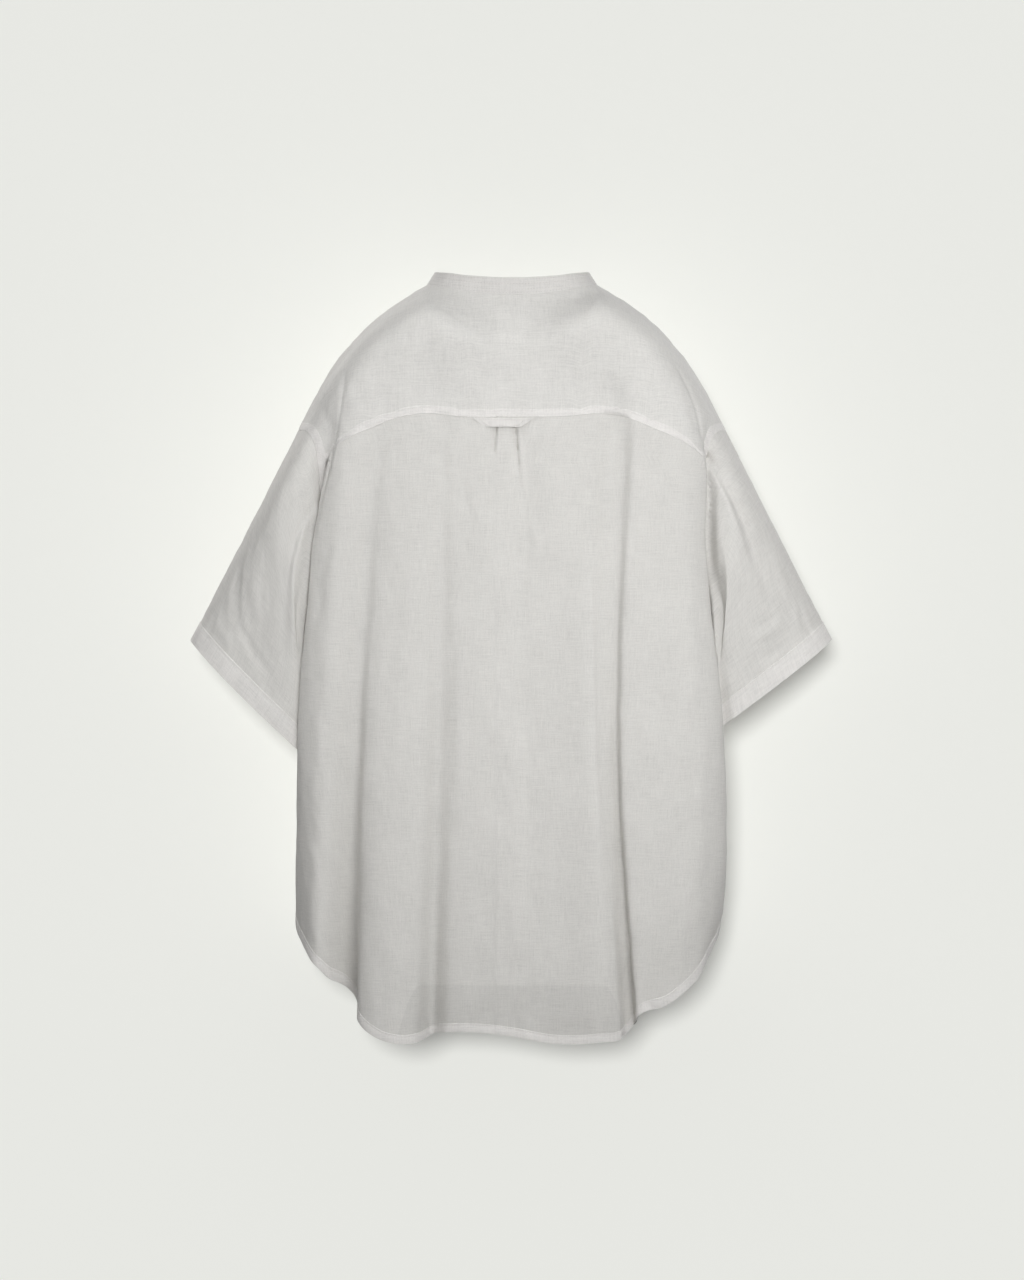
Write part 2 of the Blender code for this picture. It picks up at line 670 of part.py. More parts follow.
def seam_offsets(grids, quads):
    """Each piece's outward offset of each point for a wall 1 mm thick, shared by the pieces at a seam."""
    points = np.vstack([g.reshape(-1, 3) for g in grids.values()])
    starts = dict(zip(grids, np.cumsum([0] + [g[..., 0].size for g in grids.values()])))
    faces = np.vstack([np.array(quads[name]) + starts[name] for name in grids])
    _, weld = np.unique(np.round(points, 2), axis=0, return_inverse=True)
    weld = weld.reshape(-1)
    p = points[faces]
    total = np.zeros((weld.max() + 1, 3))
    weight = np.zeros(weld.max() + 1)
    for k in range(4):
        to_next, to_last = p[:, (k + 1) % 4] - p[:, k], p[:, k - 1] - p[:, k]
        normal = unit(np.cross(to_next, to_last))
        wide = np.arccos(np.clip((unit(to_next) * unit(to_last)).sum(1), -1, 1))
        np.add.at(total, weld[faces[:, k]], normal * wide[:, None])
        np.add.at(weight, weld[faces[:, k]], wide)
    mean = total / np.maximum(weight, 1e-9)[:, None]
    spread = np.clip(np.linalg.norm(mean, axis=1, keepdims=True), SHARPEST_MITRE, 1)
    offset = (unit(mean) / spread)[weld]
    parts = {name: offset[starts[name] : starts[name] + g[..., 0].size] for name, g in grids.items()}
    return {name: part.reshape(grids[name].shape) for name, part in parts.items()}


def rim(quads):
    """The edges that only one quad has, each with its quad."""
    edges = {(a, b): q for q in quads for a, b in zip(q, q[1:] + q[:1])}
    return {edge: q for edge, q in edges.items() if edge[::-1] not in edges}


def drawn_in(grid, quads, by):
    """The grid with its rim drawn in along the cloth, which leaves the gap at the seams."""
    points = grid.reshape(-1, 3)
    inward = {}
    for (a, b), q in rim(quads).items():
        normal = np.cross(points[q[2]] - points[q[0]], points[q[3]] - points[q[1]])
        step = unit(np.cross(normal, points[b] - points[a]))
        inward.setdefault(a, []).append(step)
        inward.setdefault(b, []).append(step)
    moved = points.copy()
    for vertex, steps in inward.items():
        moved[vertex] += by * sum(steps) / (1 + max(np.dot(steps[0], steps[-1]), 0))
    return moved.reshape(grid.shape)


def solid(name, outer, inner, quads, colour, roughness=0.85):
    """A closed wall between two grids of the same shape."""
    used = np.unique(np.array(quads))
    new = {old: k for k, old in enumerate(used)}
    count = len(used)
    faces = [tuple(new[v] for v in q) for q in quads]
    back_faces = [tuple(v + count for v in reversed(q)) for q in faces]
    points = np.vstack([outer.reshape(-1, 3)[used], inner.reshape(-1, 3)[used]]) * MM
    rim_faces = []
    for a, b in rim(faces):
        # Both pieces at a seam split a twisted edge alike: from its upper outer point to its lower inner one
        if points[a, 2] > points[b, 2]:
            rim_faces += [(b, a, b + count), (a, a + count, b + count)]
        else:
            rim_faces += [(b, a, a + count), (b, a + count, b + count)]
    mesh = bpy.data.meshes.new(name)
    mesh.from_pydata(points.tolist(), [], faces + back_faces + rim_faces)
    mesh.update()
    return place(name, mesh, colour, roughness)


def place(name, mesh, colour, roughness):
    """A named object with its own material."""
    material = bpy.data.materials.new(name)
    material.use_nodes = True
    shader = material.node_tree.nodes["Principled BSDF"]
    shader.inputs["Base Color"].default_value = (*colour, 1)
    shader.inputs["Roughness"].default_value = roughness
    mesh.materials.append(material)
    mesh.shade_smooth()
    mesh.set_sharp_from_angle(angle=math.radians(40))
    ob = bpy.data.objects.new(name, mesh)
    bpy.context.scene.collection.objects.link(ob)
    return ob


# ---------------------------------------------------------------- small pieces


def surface_y(grid, x, z):
    """How far back a back-facing grid stands at x and z, for arrays of x and z."""
    flat = []
    for xi, zi in zip(np.ravel(x), np.ravel(z)):
        column_x = [np.interp(-zi, -grid[:, j, 2], grid[:, j, 0]) for j in range(grid.shape[1])]
        column_y = [np.interp(-zi, -grid[:, j, 2], grid[:, j, 1]) for j in range(grid.shape[1])]
        order = np.argsort(column_x)
        flat.append(np.interp(xi, np.array(column_x)[order], np.array(column_y)[order]))
    return np.reshape(flat, np.shape(x))


def neck_label(yoke):
    """A plain woven label under the yoke, just below the collar."""
    x, z = np.meshgrid(np.linspace(LABEL_HALF, -LABEL_HALF, 5), np.linspace(LABEL_TOP_Z, LABEL_LOW_Z, 4))
    near = np.abs(yoke[-1, :, 0]) < 3 * LABEL_HALF
    cloth = yoke[YOKE_FRONT_ROWS:, near]
    y = surface_y(cloth, x, z)
    slope = (surface_y(cloth, x, z + SLOPE_STEP) - surface_y(cloth, x, z - SLOPE_STEP)) / (2 * SLOPE_STEP)
    normal = unit(np.stack([0 * x, 1 + 0 * x, -slope], axis=-1))
    grid = np.stack([x, y, z], axis=-1) - normal * (WALL + 3 * LAY_GAP)
    return solid("neck_label", grid, grid - normal * LABEL_WALL, cells(grid), LINEN_LABEL)


def locker_loop(back):
    """The strip under the yoke seam, sewn down at its slanted ends and a little off the cloth between."""
    across = np.linspace(0, 1, 9)
    rows = []
    for v in np.linspace(0, 1, 4):
        left = LOOP_TOP[0] + (LOOP_LOW[0] - LOOP_TOP[0]) * v
        right = LOOP_TOP[1] + (LOOP_LOW[1] - LOOP_TOP[1]) * v
        x = left + (right - left) * across
        z = np.full_like(x, LOOP_TOP_Z - LOOP_HEIGHT * v)
        ends_y = surface_y(back, np.array([LOOP_TOP[0] + LOOP_INSET, LOOP_TOP[1] - LOOP_INSET]), z[:2])
        bow = LOOP_BOW * (LOOP_TOP_BOW + (1 - LOOP_TOP_BOW) * v) * np.sin(math.pi * across)
        y = ends_y[0] + (ends_y[1] - ends_y[0]) * across + 2 * LAY_GAP + bow
        rows.append(np.stack([x, y, z], axis=-1))
    inner = np.array(rows)
    outer = inner + np.array((0, LOOP_WALL, 0))
    return solid("locker_loop", outer, inner, cells(outer), LINEN)


def button(name, centre, normal):
    """A flat round button with a chamfered rim, its back at the centre."""
    normal = unit(normal)
    side = unit(np.cross(normal, (0, 0, 1)))
    up = np.cross(side, normal)
    n = BUTTON_SIDES
    angles = [2 * math.pi * k / n for k in range(n)]
    round_the_rim = [side * math.cos(angle) + up * math.sin(angle) for angle in angles]
    rings = [
        [centre + normal * BUTTON_THICK * height + BUTTON_RADIUS * radius * way for way in round_the_rim]
        for radius, height in BUTTON_PROFILE
    ]
    points = (np.array(rings).reshape(-1, 3) * MM).tolist()
    last = len(BUTTON_PROFILE) - 1
    faces = [tuple(range(n)), tuple(last * n + k for k in reversed(range(n)))]
    for ring in range(last):
        for k in range(n):
            a, b = ring * n + k, ring * n + (k + 1) % n
            faces.append((a, a + n, b + n, b))
    mesh = bpy.data.meshes.new(name)
    mesh.from_pydata(points, [], faces)
    mesh.update()
    return place(name, mesh, BUTTON_WHITE, 0.3)


def on_column(line, offsets, z):
    """The point of a line of cloth at height z, and the offset there."""
    at = [np.interp(-z, -line[:, 2], line[:, k]) for k in range(3)]
    return np.array(at), np.array([np.interp(-z, -line[:, 2], offsets[:, k]) for k in range(3)])


# ---------------------------------------------------------------- the shirt


def outer_faces():
    """The grids of all the main pieces' outer faces, and the quads of each."""
    neck = Neck()
    flat_folds = {name: values * (not name.startswith("out")) for name, values in BACK_FOLDS.items()}
    back = Body(BACK_FORM, BACK_FOLDS, BACK_ARMHOLE, *SIDES, pleats=PLEAT_LINES)
    unfolded = Body(BACK_FORM, flat_folds, BACK_ARMHOLE, *SIDES)
    right = Body(FRONT_FORM, RIGHT_FRONT_FOLDS, FRONT_ARMHOLE, first="right")
    left = Body(FRONT_FORM, LEFT_FRONT_FOLDS, FRONT_ARMHOLE, last="left")

    seam_share = share_from_middle(back.at(FOLD_LEVELS[0]))
    seam_z = smooth_at(YOKE_SEAM["z"], YOKE_SEAM["share"], seam_share)
    back_hem_z = hem_height(back, BACK_HEM_Z, BACK_HEM_LEVEL)
    back_hem_z -= smooth_at(HEM_WAVE["drop"], HEM_WAVE["x"], back.at(back_hem_z)[:, 0])
    yoke, (corner_left, corner_right) = yoke_grid(back, unfolded, seam_z, neck)
    yoke = hung_over(yoke)
    hung = hang(back, seam_z, back_hem_z, BACK_UPPER_ROWS, seam_z[0], UPPER_BUNCH)
    grids = {"back": hung_over(hung), "yoke": yoke}
    right_corner = right.knot_column[FRONT_CORNER_FOLD["right"]]
    left_corner = left.knot_column[FRONT_CORNER_FOLD["left"]]
    grids["front_right"] = front_grid(right, right_corner, yoke[0, corner_right:][::-1], neck, -1, UNDERLAP)
    grids["front_left"] = front_grid(left, left_corner, yoke[0, : corner_left + 1][::-1], neck, 1, 0)

    underarm_back = BACK_UPPER_ROWS
    underarm_front = FRONT_ARCH_ROWS + FRONT_UPPER_ROWS
    ring_left = np.vstack(
        [
            grids["front_left"][underarm_front:0:-1, -1],
            yoke[:, 0],
            grids["back"][1 : underarm_back + 1, 0],
        ]
    )
    ring_right = np.vstack(
        [
            grids["back"][underarm_back:0:-1, -1],
            yoke[::-1, -1],
            grids["front_right"][1 : underarm_front + 1, 0],
        ]
    )
    grids["sleeve_left"] = sleeve_grid(ring_left, **SLEEVES["left"])
    grids["sleeve_right"] = sleeve_grid(ring_right, **SLEEVES["right"])

    ridge = YOKE_FRONT_ROWS
    seam = np.vstack(
        [
            grids["front_left"][0, :left_corner],
            yoke[:ridge, corner_left],
            yoke[ridge, corner_left : corner_right + 1],
            yoke[:ridge, corner_right][::-1],
            grids["front_right"][0, right_corner + 1 :],
        ]
    )
    past_middle = lengths(seam)
    back_middle = past_middle[np.argmin(np.abs(seam[:, 0]) + 1000 * (seam[:, 1] < 0))]
    grids["collar_band"] = collar_grid(seam, back_middle - past_middle, neck)

    quads = {name: cells(grid) for name, grid in grids.items()}
    quads["yoke"] = cells(yoke, lambda i, j: i < ridge and corner_left <= j < corner_right)
    return grids, quads


def build():
    for ob in list(bpy.data.objects):
        bpy.data.objects.remove(ob, do_unlink=True)
    grids, quads = outer_faces()
    offsets = seam_offsets(grids, quads)
    for name, grid in grids.items():
        wall = COLLAR_WALL if name == "collar_band" else WALL
        outer = drawn_in(grid, quads[name], SEAM_GAP / 2)
        solid(name, outer, outer - offsets[name] * wall, quads[name], LINEN)

    front, out = grids["front_left"], offsets["front_left"]
    strip = slice(0, PLACKET_COLUMNS + 1)
    strip_cells = cells(front[:, strip])
    under = drawn_in(front[:, strip], strip_cells, SEAM_GAP / 2) + out[:, strip] * LAY_GAP
    solid("placket", under + out[:, strip] * PLACKET_WALL, under, strip_cells, LINEN)

    middle = PLACKET_COLUMNS // 2
    for k in range(BUTTON_COUNT):
        at, normal = on_column(front[:, middle], out[:, middle], BUTTON_TOP_Z - k * BUTTON_PITCH)
        button(f"button_{k + 1}", at + unit(normal) * (LAY_GAP + PLACKET_WALL + BUTTON_LIFT), normal)
    band, band_out = grids["collar_band"], offsets["collar_band"]
    at, normal = band[1, middle - 1], band_out[1, middle - 1]
    button("button_collar", at + unit(normal) * BUTTON_LIFT, normal)

    locker_loop(grids["back"])
    neck_label(grids["yoke"])


build()
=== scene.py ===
"""Looks of the mandarin collar shirt: fine cloth, hems, sewing, buttons, linen and a plain studio.

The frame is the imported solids' own: metres, +Z up, +X the wearer's left, and the front faces -Y. The cloth
is worked out as the solids are, from named sizes and tables in millimetres, with finer rows and columns and
some of its folds set a few millimetres off theirs. Creases and the linen's rumples are then pressed into it.
"""

import math

import bpy
import mathutils
import numpy as np
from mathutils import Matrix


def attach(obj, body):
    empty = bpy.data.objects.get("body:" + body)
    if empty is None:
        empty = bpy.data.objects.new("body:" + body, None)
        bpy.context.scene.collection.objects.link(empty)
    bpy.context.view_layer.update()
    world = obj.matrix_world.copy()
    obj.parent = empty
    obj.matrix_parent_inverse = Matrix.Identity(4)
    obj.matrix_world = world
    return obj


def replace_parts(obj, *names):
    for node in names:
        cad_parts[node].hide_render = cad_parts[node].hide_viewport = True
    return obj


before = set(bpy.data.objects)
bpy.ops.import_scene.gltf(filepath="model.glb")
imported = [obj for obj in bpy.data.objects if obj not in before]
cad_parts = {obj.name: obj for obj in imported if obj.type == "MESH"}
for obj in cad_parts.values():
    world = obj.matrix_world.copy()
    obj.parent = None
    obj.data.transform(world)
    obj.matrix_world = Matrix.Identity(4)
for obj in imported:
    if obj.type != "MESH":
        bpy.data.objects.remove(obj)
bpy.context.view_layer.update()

MM = 0.001

# Cloth
WALL = 1.5  # of the solids' panels
CLOTH_WALL = 0.7
COLLAR_CLOTH_WALL = 2.0
SEAM_LINE = 0.04  # the visible gap between two pieces at a seam
LAY_GAP = 0.4  # between a panel and what is sewn on it

# Levels
LATTICE_TOP = -95.0
LATTICE_LOW = -800.0
LATTICE_STEP = 2.5
CHEST_Z = -195.0  # where the front's upper part becomes an upright wall
UNDERARM_Z = -370.0
SIDE_HEM_Z = -630.0
BACK_HEM_Z = -765.0
FRONT_HEM_Z = -714.0

# Hem: the share of the way from the middle to the side seam that is level, before the hem curves up
BACK_HEM_LEVEL = 0.40
FRONT_HEM_LEVEL = 0.30
HEM_ROUNDS = 4  # its height and its columns' places depend on each other, and are settled in so many rounds

FOLD_REACH = 55.0  # how far the back's folds run on up the yoke
YOKE_PULL = 1.95  # how far the yoke lies level behind the shoulders before it falls; 1 is a plain arch

# Yoke: how far its front edge lies beyond the shoulder ridge, at the neck and at the armhole
YOKE_DROP_NECK = (-9.0, -34.0, -18.0)
YOKE_DROP_ARM = (-9.0, -35.0, -30.0)
NECK_TO_FRONT_SEAM = 38.0  # along the neck seam, from the ridge to the front yoke seam

# Placket, buttons, loop, label
PLACKET_HALF = 15.0
PLACKET_WALL = 1.2
UNDERLAP = 3.8  # the right front lies this much under the left one
UNDERLAP_FROM = 20.0  # it starts to rise from under it this far from the middle,
UNDERLAP_OVER = 8.0  # and has risen this much further on
FRONT_STRAIGHT = 26.0  # the fronts' first columns fall straight from the neck up to here
BUTTON_LIFT = 0.6  # from the placket to the button's back
BUTTON_TOP_Z = -92.0
BUTTON_PITCH = 92.0
BUTTON_COUNT = 7
LOOP_TOP = (41.0, -23.0)  # left and right end of the loop's upper edge
LOOP_LOW = (28.5, -9.5)
LOOP_TOP_Z = -129.6
LOOP_HEIGHT = 9.6
LOOP_WALL = 1.2
LOOP_BOW = 1.6
LOOP_TOP_BOW = 0.3  # the share of the bow that its upper edge has
LOOP_INSET = 4.0  # it is sewn down this far inside its ends
LABEL_HALF = 15.6
LABEL_TOP_Z = -14.0
LABEL_LOW_Z = -52.0
SLOPE_STEP = 1.5  # the reach over which the cloth's slope behind the label is taken

# How much finer the cloth is here than the solids: columns, and rows
ACROSS = 4
DOWN = 8

# Rows of the grids
YOKE_BACK_ROWS = 7 * DOWN
YOKE_FRONT_ROWS = 3 * DOWN
BACK_UPPER_ROWS = 9 * DOWN  # down to the underarm
FRONT_ARCH_ROWS = 4 * DOWN
FRONT_UPPER_ROWS = 5 * DOWN
LOWER_ROWS = 100
SLEEVE_ROWS = 8 * DOWN
COLLAR_ROWS = 12
LINE_STEPS = 16  # from one knot to the next on the lines of the neck and the shoulder ridge
TUCK_STEPS = 2 * ACROSS  # columns from a side seam to the tuck beside it, and on to the roll
SIDE_STEPS = 3 * ACROSS  # and on to the first fold

# Directions in which the cloth leaves a seam, for the wearer's left
FRONT_FALL = np.array((-0.10, -0.65, -0.75))  # front yoke seam
NECK_FALL = np.array((0.0, -0.50, -0.86))  # middle of the neck's front
BACK_NECK_FALL = np.array((0.0, 0.62, -0.78))  # middle of the neck's back
RIDGE_FALL = np.array((0.0, 1.0, -0.16))  # shoulder ridge, towards the back
SLEEVE_TOP_FALL = np.array((0.455, 0.0, -0.89))
SLEEVE_UNDER_FALL = np.array((0.95, 0.0, -0.30))
SLEEVE_HEM_FALL = np.array((0.12, 0.0, -1.0))
SLEEVE_SPREAD = (0.12, 0.30)  # how far its way from the armhole leans to the front and to the back
SLEEVE_BOW = np.array((0.69, 0.0, -0.72))  # the way in which its hem bows

SIDES = ("left", "right")
SQUARENESS = 3.5  # of the body's sections; 2 is an ellipse
UPPER_BUNCH = 1.2  # the back's upper rows stand closer below the yoke seam
SHARPEST_MITRE = 0.6  # walls meeting at a seam are thickened by no more than 1 / this
WELD_DIGITS = 2  # points that agree to so many decimals of a millimetre are one
WIDEST_SHARE = 0.995  # of a section's half width: nearer to its end its slope would grow without end
SIDE_KNOTS = 3  # at each side of a section: the seam, the tuck and the roll


def table(columns, *rows):
    """A short table: each column's name with its values."""
    return dict(zip(columns.split(), np.array(rows, float).T))


# Where the cloth rounds to the sides (left and right), and how far out its middle stands, at each height
BACK_FORM = table(
    "z left_x left_y right_x right_y middle_y",
    (-95, 180, 77, 190, 75, 84),
    (-150, 186, 77, 199, 76, 92),
    (-187, 192, 77, 201, 77, 95),
    (-250, 205, 75, 200, 75, 98),
    (-317, 211, 73, 205, 73, 100),
    (-388, 218, 72, 213, 72, 101),
    (-463, 222, 71, 219, 71, 102),
    (-560, 222, 68, 221, 68, 104),
    (-640, 222, 62, 217, 63, 106),
    (-700, 221, 58, 205, 60, 107),
    (-800, 221, 54, 200, 56, 108),
)

FRONT_FORM = table(
    "z left_x left_y right_x right_y middle_y",
    (-190, 198, -80, 199, -80, -112),
    (-250, 206, -78, 206, -78, -120),
    (-317, 211, -75, 209, -75, -125),
    (-388, 216, -72, 212, -72, -128),
    (-463, 220, -68, 218, -68, -130),
    (-560, 222, -60, 221, -60, -131),
    (-640, 222, -54, 218, -54, -132),
    (-800, 220, -48, 213, -48, -133),
)

# The armhole seam down the back and down the front, and the side seam below the underarm. The sleeve hangs
# against the body there and pushes the side seam in.
BACK_ARMHOLE = table(
    "z x y",
    (-185, 200, 70), (-235, 196, 68), (-290, 196, 60), (-335, 198, 44), (-370, 199, 18),
)
FRONT_ARMHOLE = table(
    "z x y",
    (-168, 213, -40), (-195, 207, -54), (-240, 204, -61), (-295, 200, -50), (-338, 199, -20),
    (-370, 199, 18),
)
SIDE_SEAM = table(
    "z x y",
    (-370, 199, 18), (-420, 192, 8), (-463, 190, 0), (-500, 195, -6), (-560, 210, -10),
    (-600, 216, -10), (-640, 220, -10),
)

# How far the body's cloth tucks in beside the sleeve, between that seam and the roll where the side begins
SIDE_TUCK = table(
    "z in",
    (-185, 4), (-235, 7), (-317, 9), (-463, 11), (-520, 5), (-600, -1), (-640, -1),
)
TUCK_SHARE = 0.3  # how far it lies from the roll to the seam, in depth

# Folds: a row for each crest or valley, from left to right as seen from outside. x is its place across the
# body and out its height above the plain form: under the yoke, at the waist and at the hem. steps is how many
# columns there are from this row to the next one, and the last row's is to the piece's edge.
FOLD_COLUMNS = "x_top x_mid x_hem out_top out_mid out_hem steps"
FOLD_LEVELS = (-150.0, -450.0, -760.0)

BACK_FOLDS = table(
    FOLD_COLUMNS,
    (174, 194, 202, 0, 1, 1, 3),  # left flank
    (138, 160, 167, -2, -13, -33, 2),  # floor of the left valley
    (128, 149, 158, -1, -2, 0, 2),  # its inner edge
    (106, 120, 134, 1, 5, 12, 2),  # left crest
    (86, 90, 102, 1, 3, 7, 2),  # its inner side, at the neck's corner
    (71, 75, 83, -1.5, -7, -20, 2),  # floor of the middle valley
    (59, 58, 65, 0, -1, -8, 2),  # its steeper right wall
    (28, 28, 30, 1, 1, -2, 1),
    (18, 19, 20, 0, 0, -2, 1),  # left pleat line
    (12, 13, 14, 0, 0, -1, 2),
    (4, 4, 4, 0, 0, 0, 1),
    (-3, -3, -4, 0, 0, 1, 1),  # right pleat line
    (-10, -11, -12, 0, 0, 2, 3),
    (-45, -45, -45, 1, 2, 1, 2),
    (-78, -84, -94, 0.5, 6, 9, 2),  # right crest
    (-86, -90, -110, -1.5, 2, 3, 2),  # its edge above the deep groove
    (-99, -101, -118, -6, -4, -11, 1),  # floor of the deep groove
    (-115, -107.5, -127, -4.5, -7, -15, 2),
    (-126, -112.5, -130, 2, 3, 1, 2),  # the groove's far edge, which stands up over it
    (-136, -130, -146, 2, 5, 3, 3),  # right roll
    (-176, -192, -188, 1, 3, 1, 3),  # right flank
)
LEFT_NECK_FOLD = 4  # the rows of BACK_FOLDS whose columns run to the neck's corners
RIGHT_NECK_FOLD = 14

# Box pleat under the loop: the row of BACK_FOLDS that each line follows, its depth and how low it reaches
PLEAT_LINES = ((8, 2.4, -190.0), (11, 3.2, -226.0))
PLEAT_TOP_Z = -130.0
PLEAT_START = 14.0  # it is pressed flat into the yoke seam, and full this far below it

RIGHT_FRONT_FOLDS = table(
    FOLD_COLUMNS,
    (-170, -184, -188, 0, 0, 0, 4),  # right flank
    (-138, -150, -158, -1, -6, -14, 5),  # outer valley
    (-106, -116, -124, 1, 4, 10, 3),  # outer crest
    (-78, -80, -82, -1, -4, -9, 2),  # inner valley, at the front yoke seam's neck end
    (-50, -50, -50, 1, 2, 4, 2),
    (-28, -28, -28, 0, 0, 0, 1),
    (-20, -20, -20, -UNDERLAP, -UNDERLAP, -UNDERLAP, 3),
    (14, 14, 14, -UNDERLAP, -UNDERLAP, -UNDERLAP, 0),  # edge under the left front
)
LEFT_FRONT_FOLDS = table(
    FOLD_COLUMNS,
    (-PLACKET_HALF, -PLACKET_HALF, -PLACKET_HALF, 0, 0, 0, 4),  # edge over the right front
    (PLACKET_HALF, PLACKET_HALF, PLACKET_HALF, 0, 0, 0, 1),
    (26, 26, 26, 0, 0, 0, 2),
    (52, 52, 52, 1, 2, 5, 2),
    (78, 80, 84, -1, -5, -12, 3),  # inner valley, at the front yoke seam's neck end
    (108, 114, 120, 1, 4, 9, 3),  # outer crest
    (140, 146, 152, -1, -5, -12, 3),  # outer valley
    (170, 184, 188, 0, 0, 0, 3),  # left flank
)
PLACKET_COLUMNS = 4 * ACROSS  # the first columns of the left front, which the placket covers
FRONT_CORNER_FOLD = {"right": 3, "left": 4}  # the rows that run to the neck end of the front yoke seam

# Where the back hangs over the sleeves, above the armhole: the fold's place and depth on each side
SHOULDER_FOLD = table(
    "z left right left_deep right_deep",
    (-40, 166, 160, 0, 0),
    (-60, 169, 165, 3, 1),
    (-83, 171, 173, 4, 4),
    (-125, 178, 190, 4, 8),
    (-145, 180, 195.5, 4, 10),
    (-187, 190, 202, 4.5, 9),
    (-235, 199, 204, 3, 6),
    (-300, 207, 208, 0, 0),
)
SHOULDER_FOLD_OVER = 3.5  # it drops within this width
SHOULDER_FOLD_DEPTH = (2.0, 20.0)  # it starts and is full this far behind the shoulder ridge
SHOULDER_CREASE = (2.2, 0.2)  # the crease along its line: its reach, and its depth as a share of the drop

# Where a sleeve lies against the body's back: how far in front of the back's edge, on each side
SLEEVE_REST = table(
    "z left right",
    (-150, 6, 6), (-200, 7, 7), (-235, 6, 9), (-265, 4, 11), (-300, 3, 9), (-338, 3, 3),
    (-380, 3, 4), (-437, 4, 10), (-470, 4, 12),
)
SLEEVE_REST_SOFT = 3.0  # it leaves its own form gently, within this much of it
REST_INSIDE, REST_FULL = 14.0, 1.0  # it starts this far inside the edge and is full this far outside it,
REST_FADE, REST_FADE_OVER = 9.0, 30.0  # and from this far outside it fades over this width
REST_TIGHT_OVER = 12.0  # what stands too far back there is drawn in as well, less and less over this width
REST_TOP_Z, REST_DOWN = -150.0, 60.0  # it starts at this height and is full this much lower,
REST_FRONT_Y, REST_BACK = -10.0, 20.0  # it starts at this depth and is full this much further back,
REST_FROM_SEAM = 14.0  # and it is full this far from the armhole seam

# The back hem's waves: how far below its even curve it hangs
HEM_WAVE = table(
    "x drop",
    (190, 0), (166, -12), (155, -4), (140, 3), (127, 7), (106, 9), (94, 6), (82, 0), (66, -2),
    (12, 0), (-8, 3), (-42, 9), (-92, 7), (-114, 3), (-121, -4), (-130, -13), (-160, -6), (-190, 0),
)

# Seam between yoke and back: its height along the way from the middle to the armhole
YOKE_SEAM = table(
    "share z",
    (0.00, -129.0), (0.25, -128.5), (0.42, -125.5), (0.58, -131.0), (0.68, -140.0), (0.78, -149.0),
    (0.88, -162.0), (1.00, -185.0),
)

# Left half of the neck seam, from the middle of the back to the middle of the front
NECK = table(
    "x y z",
    (0, 42, 0), (44, 36, 3), (77, 20, 9.5), (89, 4, 11.5), (86, -12, 6), (76, -28, -6),
    (58, -44, -24), (32, -56, -42), (0, -61, -50),
)
NECK_CORNER = 3  # the row of NECK on the shoulder ridge

# Left shoulder ridge, from the neck to the armhole
RIDGE = table(
    "x y z",
    (89, 4, 11.5), (122, 2, -8.5), (145, 1, -26), (162, 0, -43), (177.3, -1, -60.3), (189, -2, -76),
    (208, -4, -109), (222, -5, -138),
)

# Rise of the collar band from the neck seam to its upper edge, from the back's middle to the front's
COLLAR_RISE = table(
    "share x y z",
    (0.00, 0, -8, 18.5), (0.24, -1, -9, 17), (0.42, -8, -15, 14), (0.70, -7, -4, 18),
    (1.00, 0, 3, 20.5),
)
COLLAR_END = 8.0  # the band's front corners are rounded over this length
COLLAR_END_RISE = 0.55  # the share of its height that is left at the very end

# Sleeve hems: their highest outer point, their lowest inner point, how deep they reach to the front and the
# back, the share of the way in at which they are deepest at the back, and how far they bow
SLEEVES = {
    "left": dict(
        side=1, tip=(334.0, 0.0, -358.0), inner=(200.0, 0.0, -482.0), deep=(54.0, 68.0), apex=0.84, bow=8.0
    ),
    "right": dict(
        side=-1, tip=(333.0, 0.0, -358.0), inner=(200.0, 0.0, -455.0), deep=(54.0, 66.0), apex=0.86, bow=5.0
    ),
}
SLEEVE_SQUARENESS = 0.8  # of the back half of its hem's ring; 1 is an ellipse


# ---------------------------------------------------------------- curves


def unit(v):
    """Vectors scaled to length 1."""
    v = np.asarray(v, float)
    return v / np.maximum(np.linalg.norm(v, axis=-1, keepdims=True), 1e-12)


def spline(knots, steps, before=None, after=None):
    """Points on a smooth curve through the knots: steps[i] of them from knot i up to the next, then the last.

    before and after are the knots that the curve would go on to past its ends.
    """
    knots = np.asarray(knots, float)
    before = 2 * knots[0] - knots[1] if before is None else before
    after = 2 * knots[-1] - knots[-2] if after is None else after
    k = np.vstack([before, knots, after])
    gap = np.sqrt(np.maximum(np.linalg.norm(np.diff(k, axis=0), axis=1), 1e-6))
    points = []
    for i, count in enumerate(steps):
        p0, p1, p2, p3 = k[i : i + 4]
        d0, d1, d2 = gap[i : i + 3]
        m1 = (p1 - p0) / d0 - (p2 - p0) / (d0 + d1) + (p2 - p1) / d1
        m2 = (p2 - p1) / d1 - (p3 - p1) / (d1 + d2) + (p3 - p2) / d2
        t = (np.arange(int(count)) / max(int(count), 1))[:, None]
        points.append(hermite(p1, m1 * d1, p2, m2 * d1, t))
    return np.vstack(points + [knots[-1:]])


def hermite(p0, m0, p1, m1, t):
    """The cubic from p0 with velocity m0 to p1 with velocity m1."""
    t2, t3 = t * t, t * t * t
    return (2 * t3 - 3 * t2 + 1) * p0 + (t3 - 2 * t2 + t) * m0 + (3 * t2 - 2 * t3) * p1 + (t3 - t2) * m1


def arch(p0, d0, p1, d1, rows, pull=1.0):
    """rows + 1 points from p0, leaving along d0, to p1, arriving along d1; more pull bends it more."""
    chord = np.linalg.norm(p1 - p0) * pull
    t = np.linspace(0, 1, rows + 1)[:, None]
    return hermite(p0, unit(d0) * chord, p1, unit(d1) * chord, t)


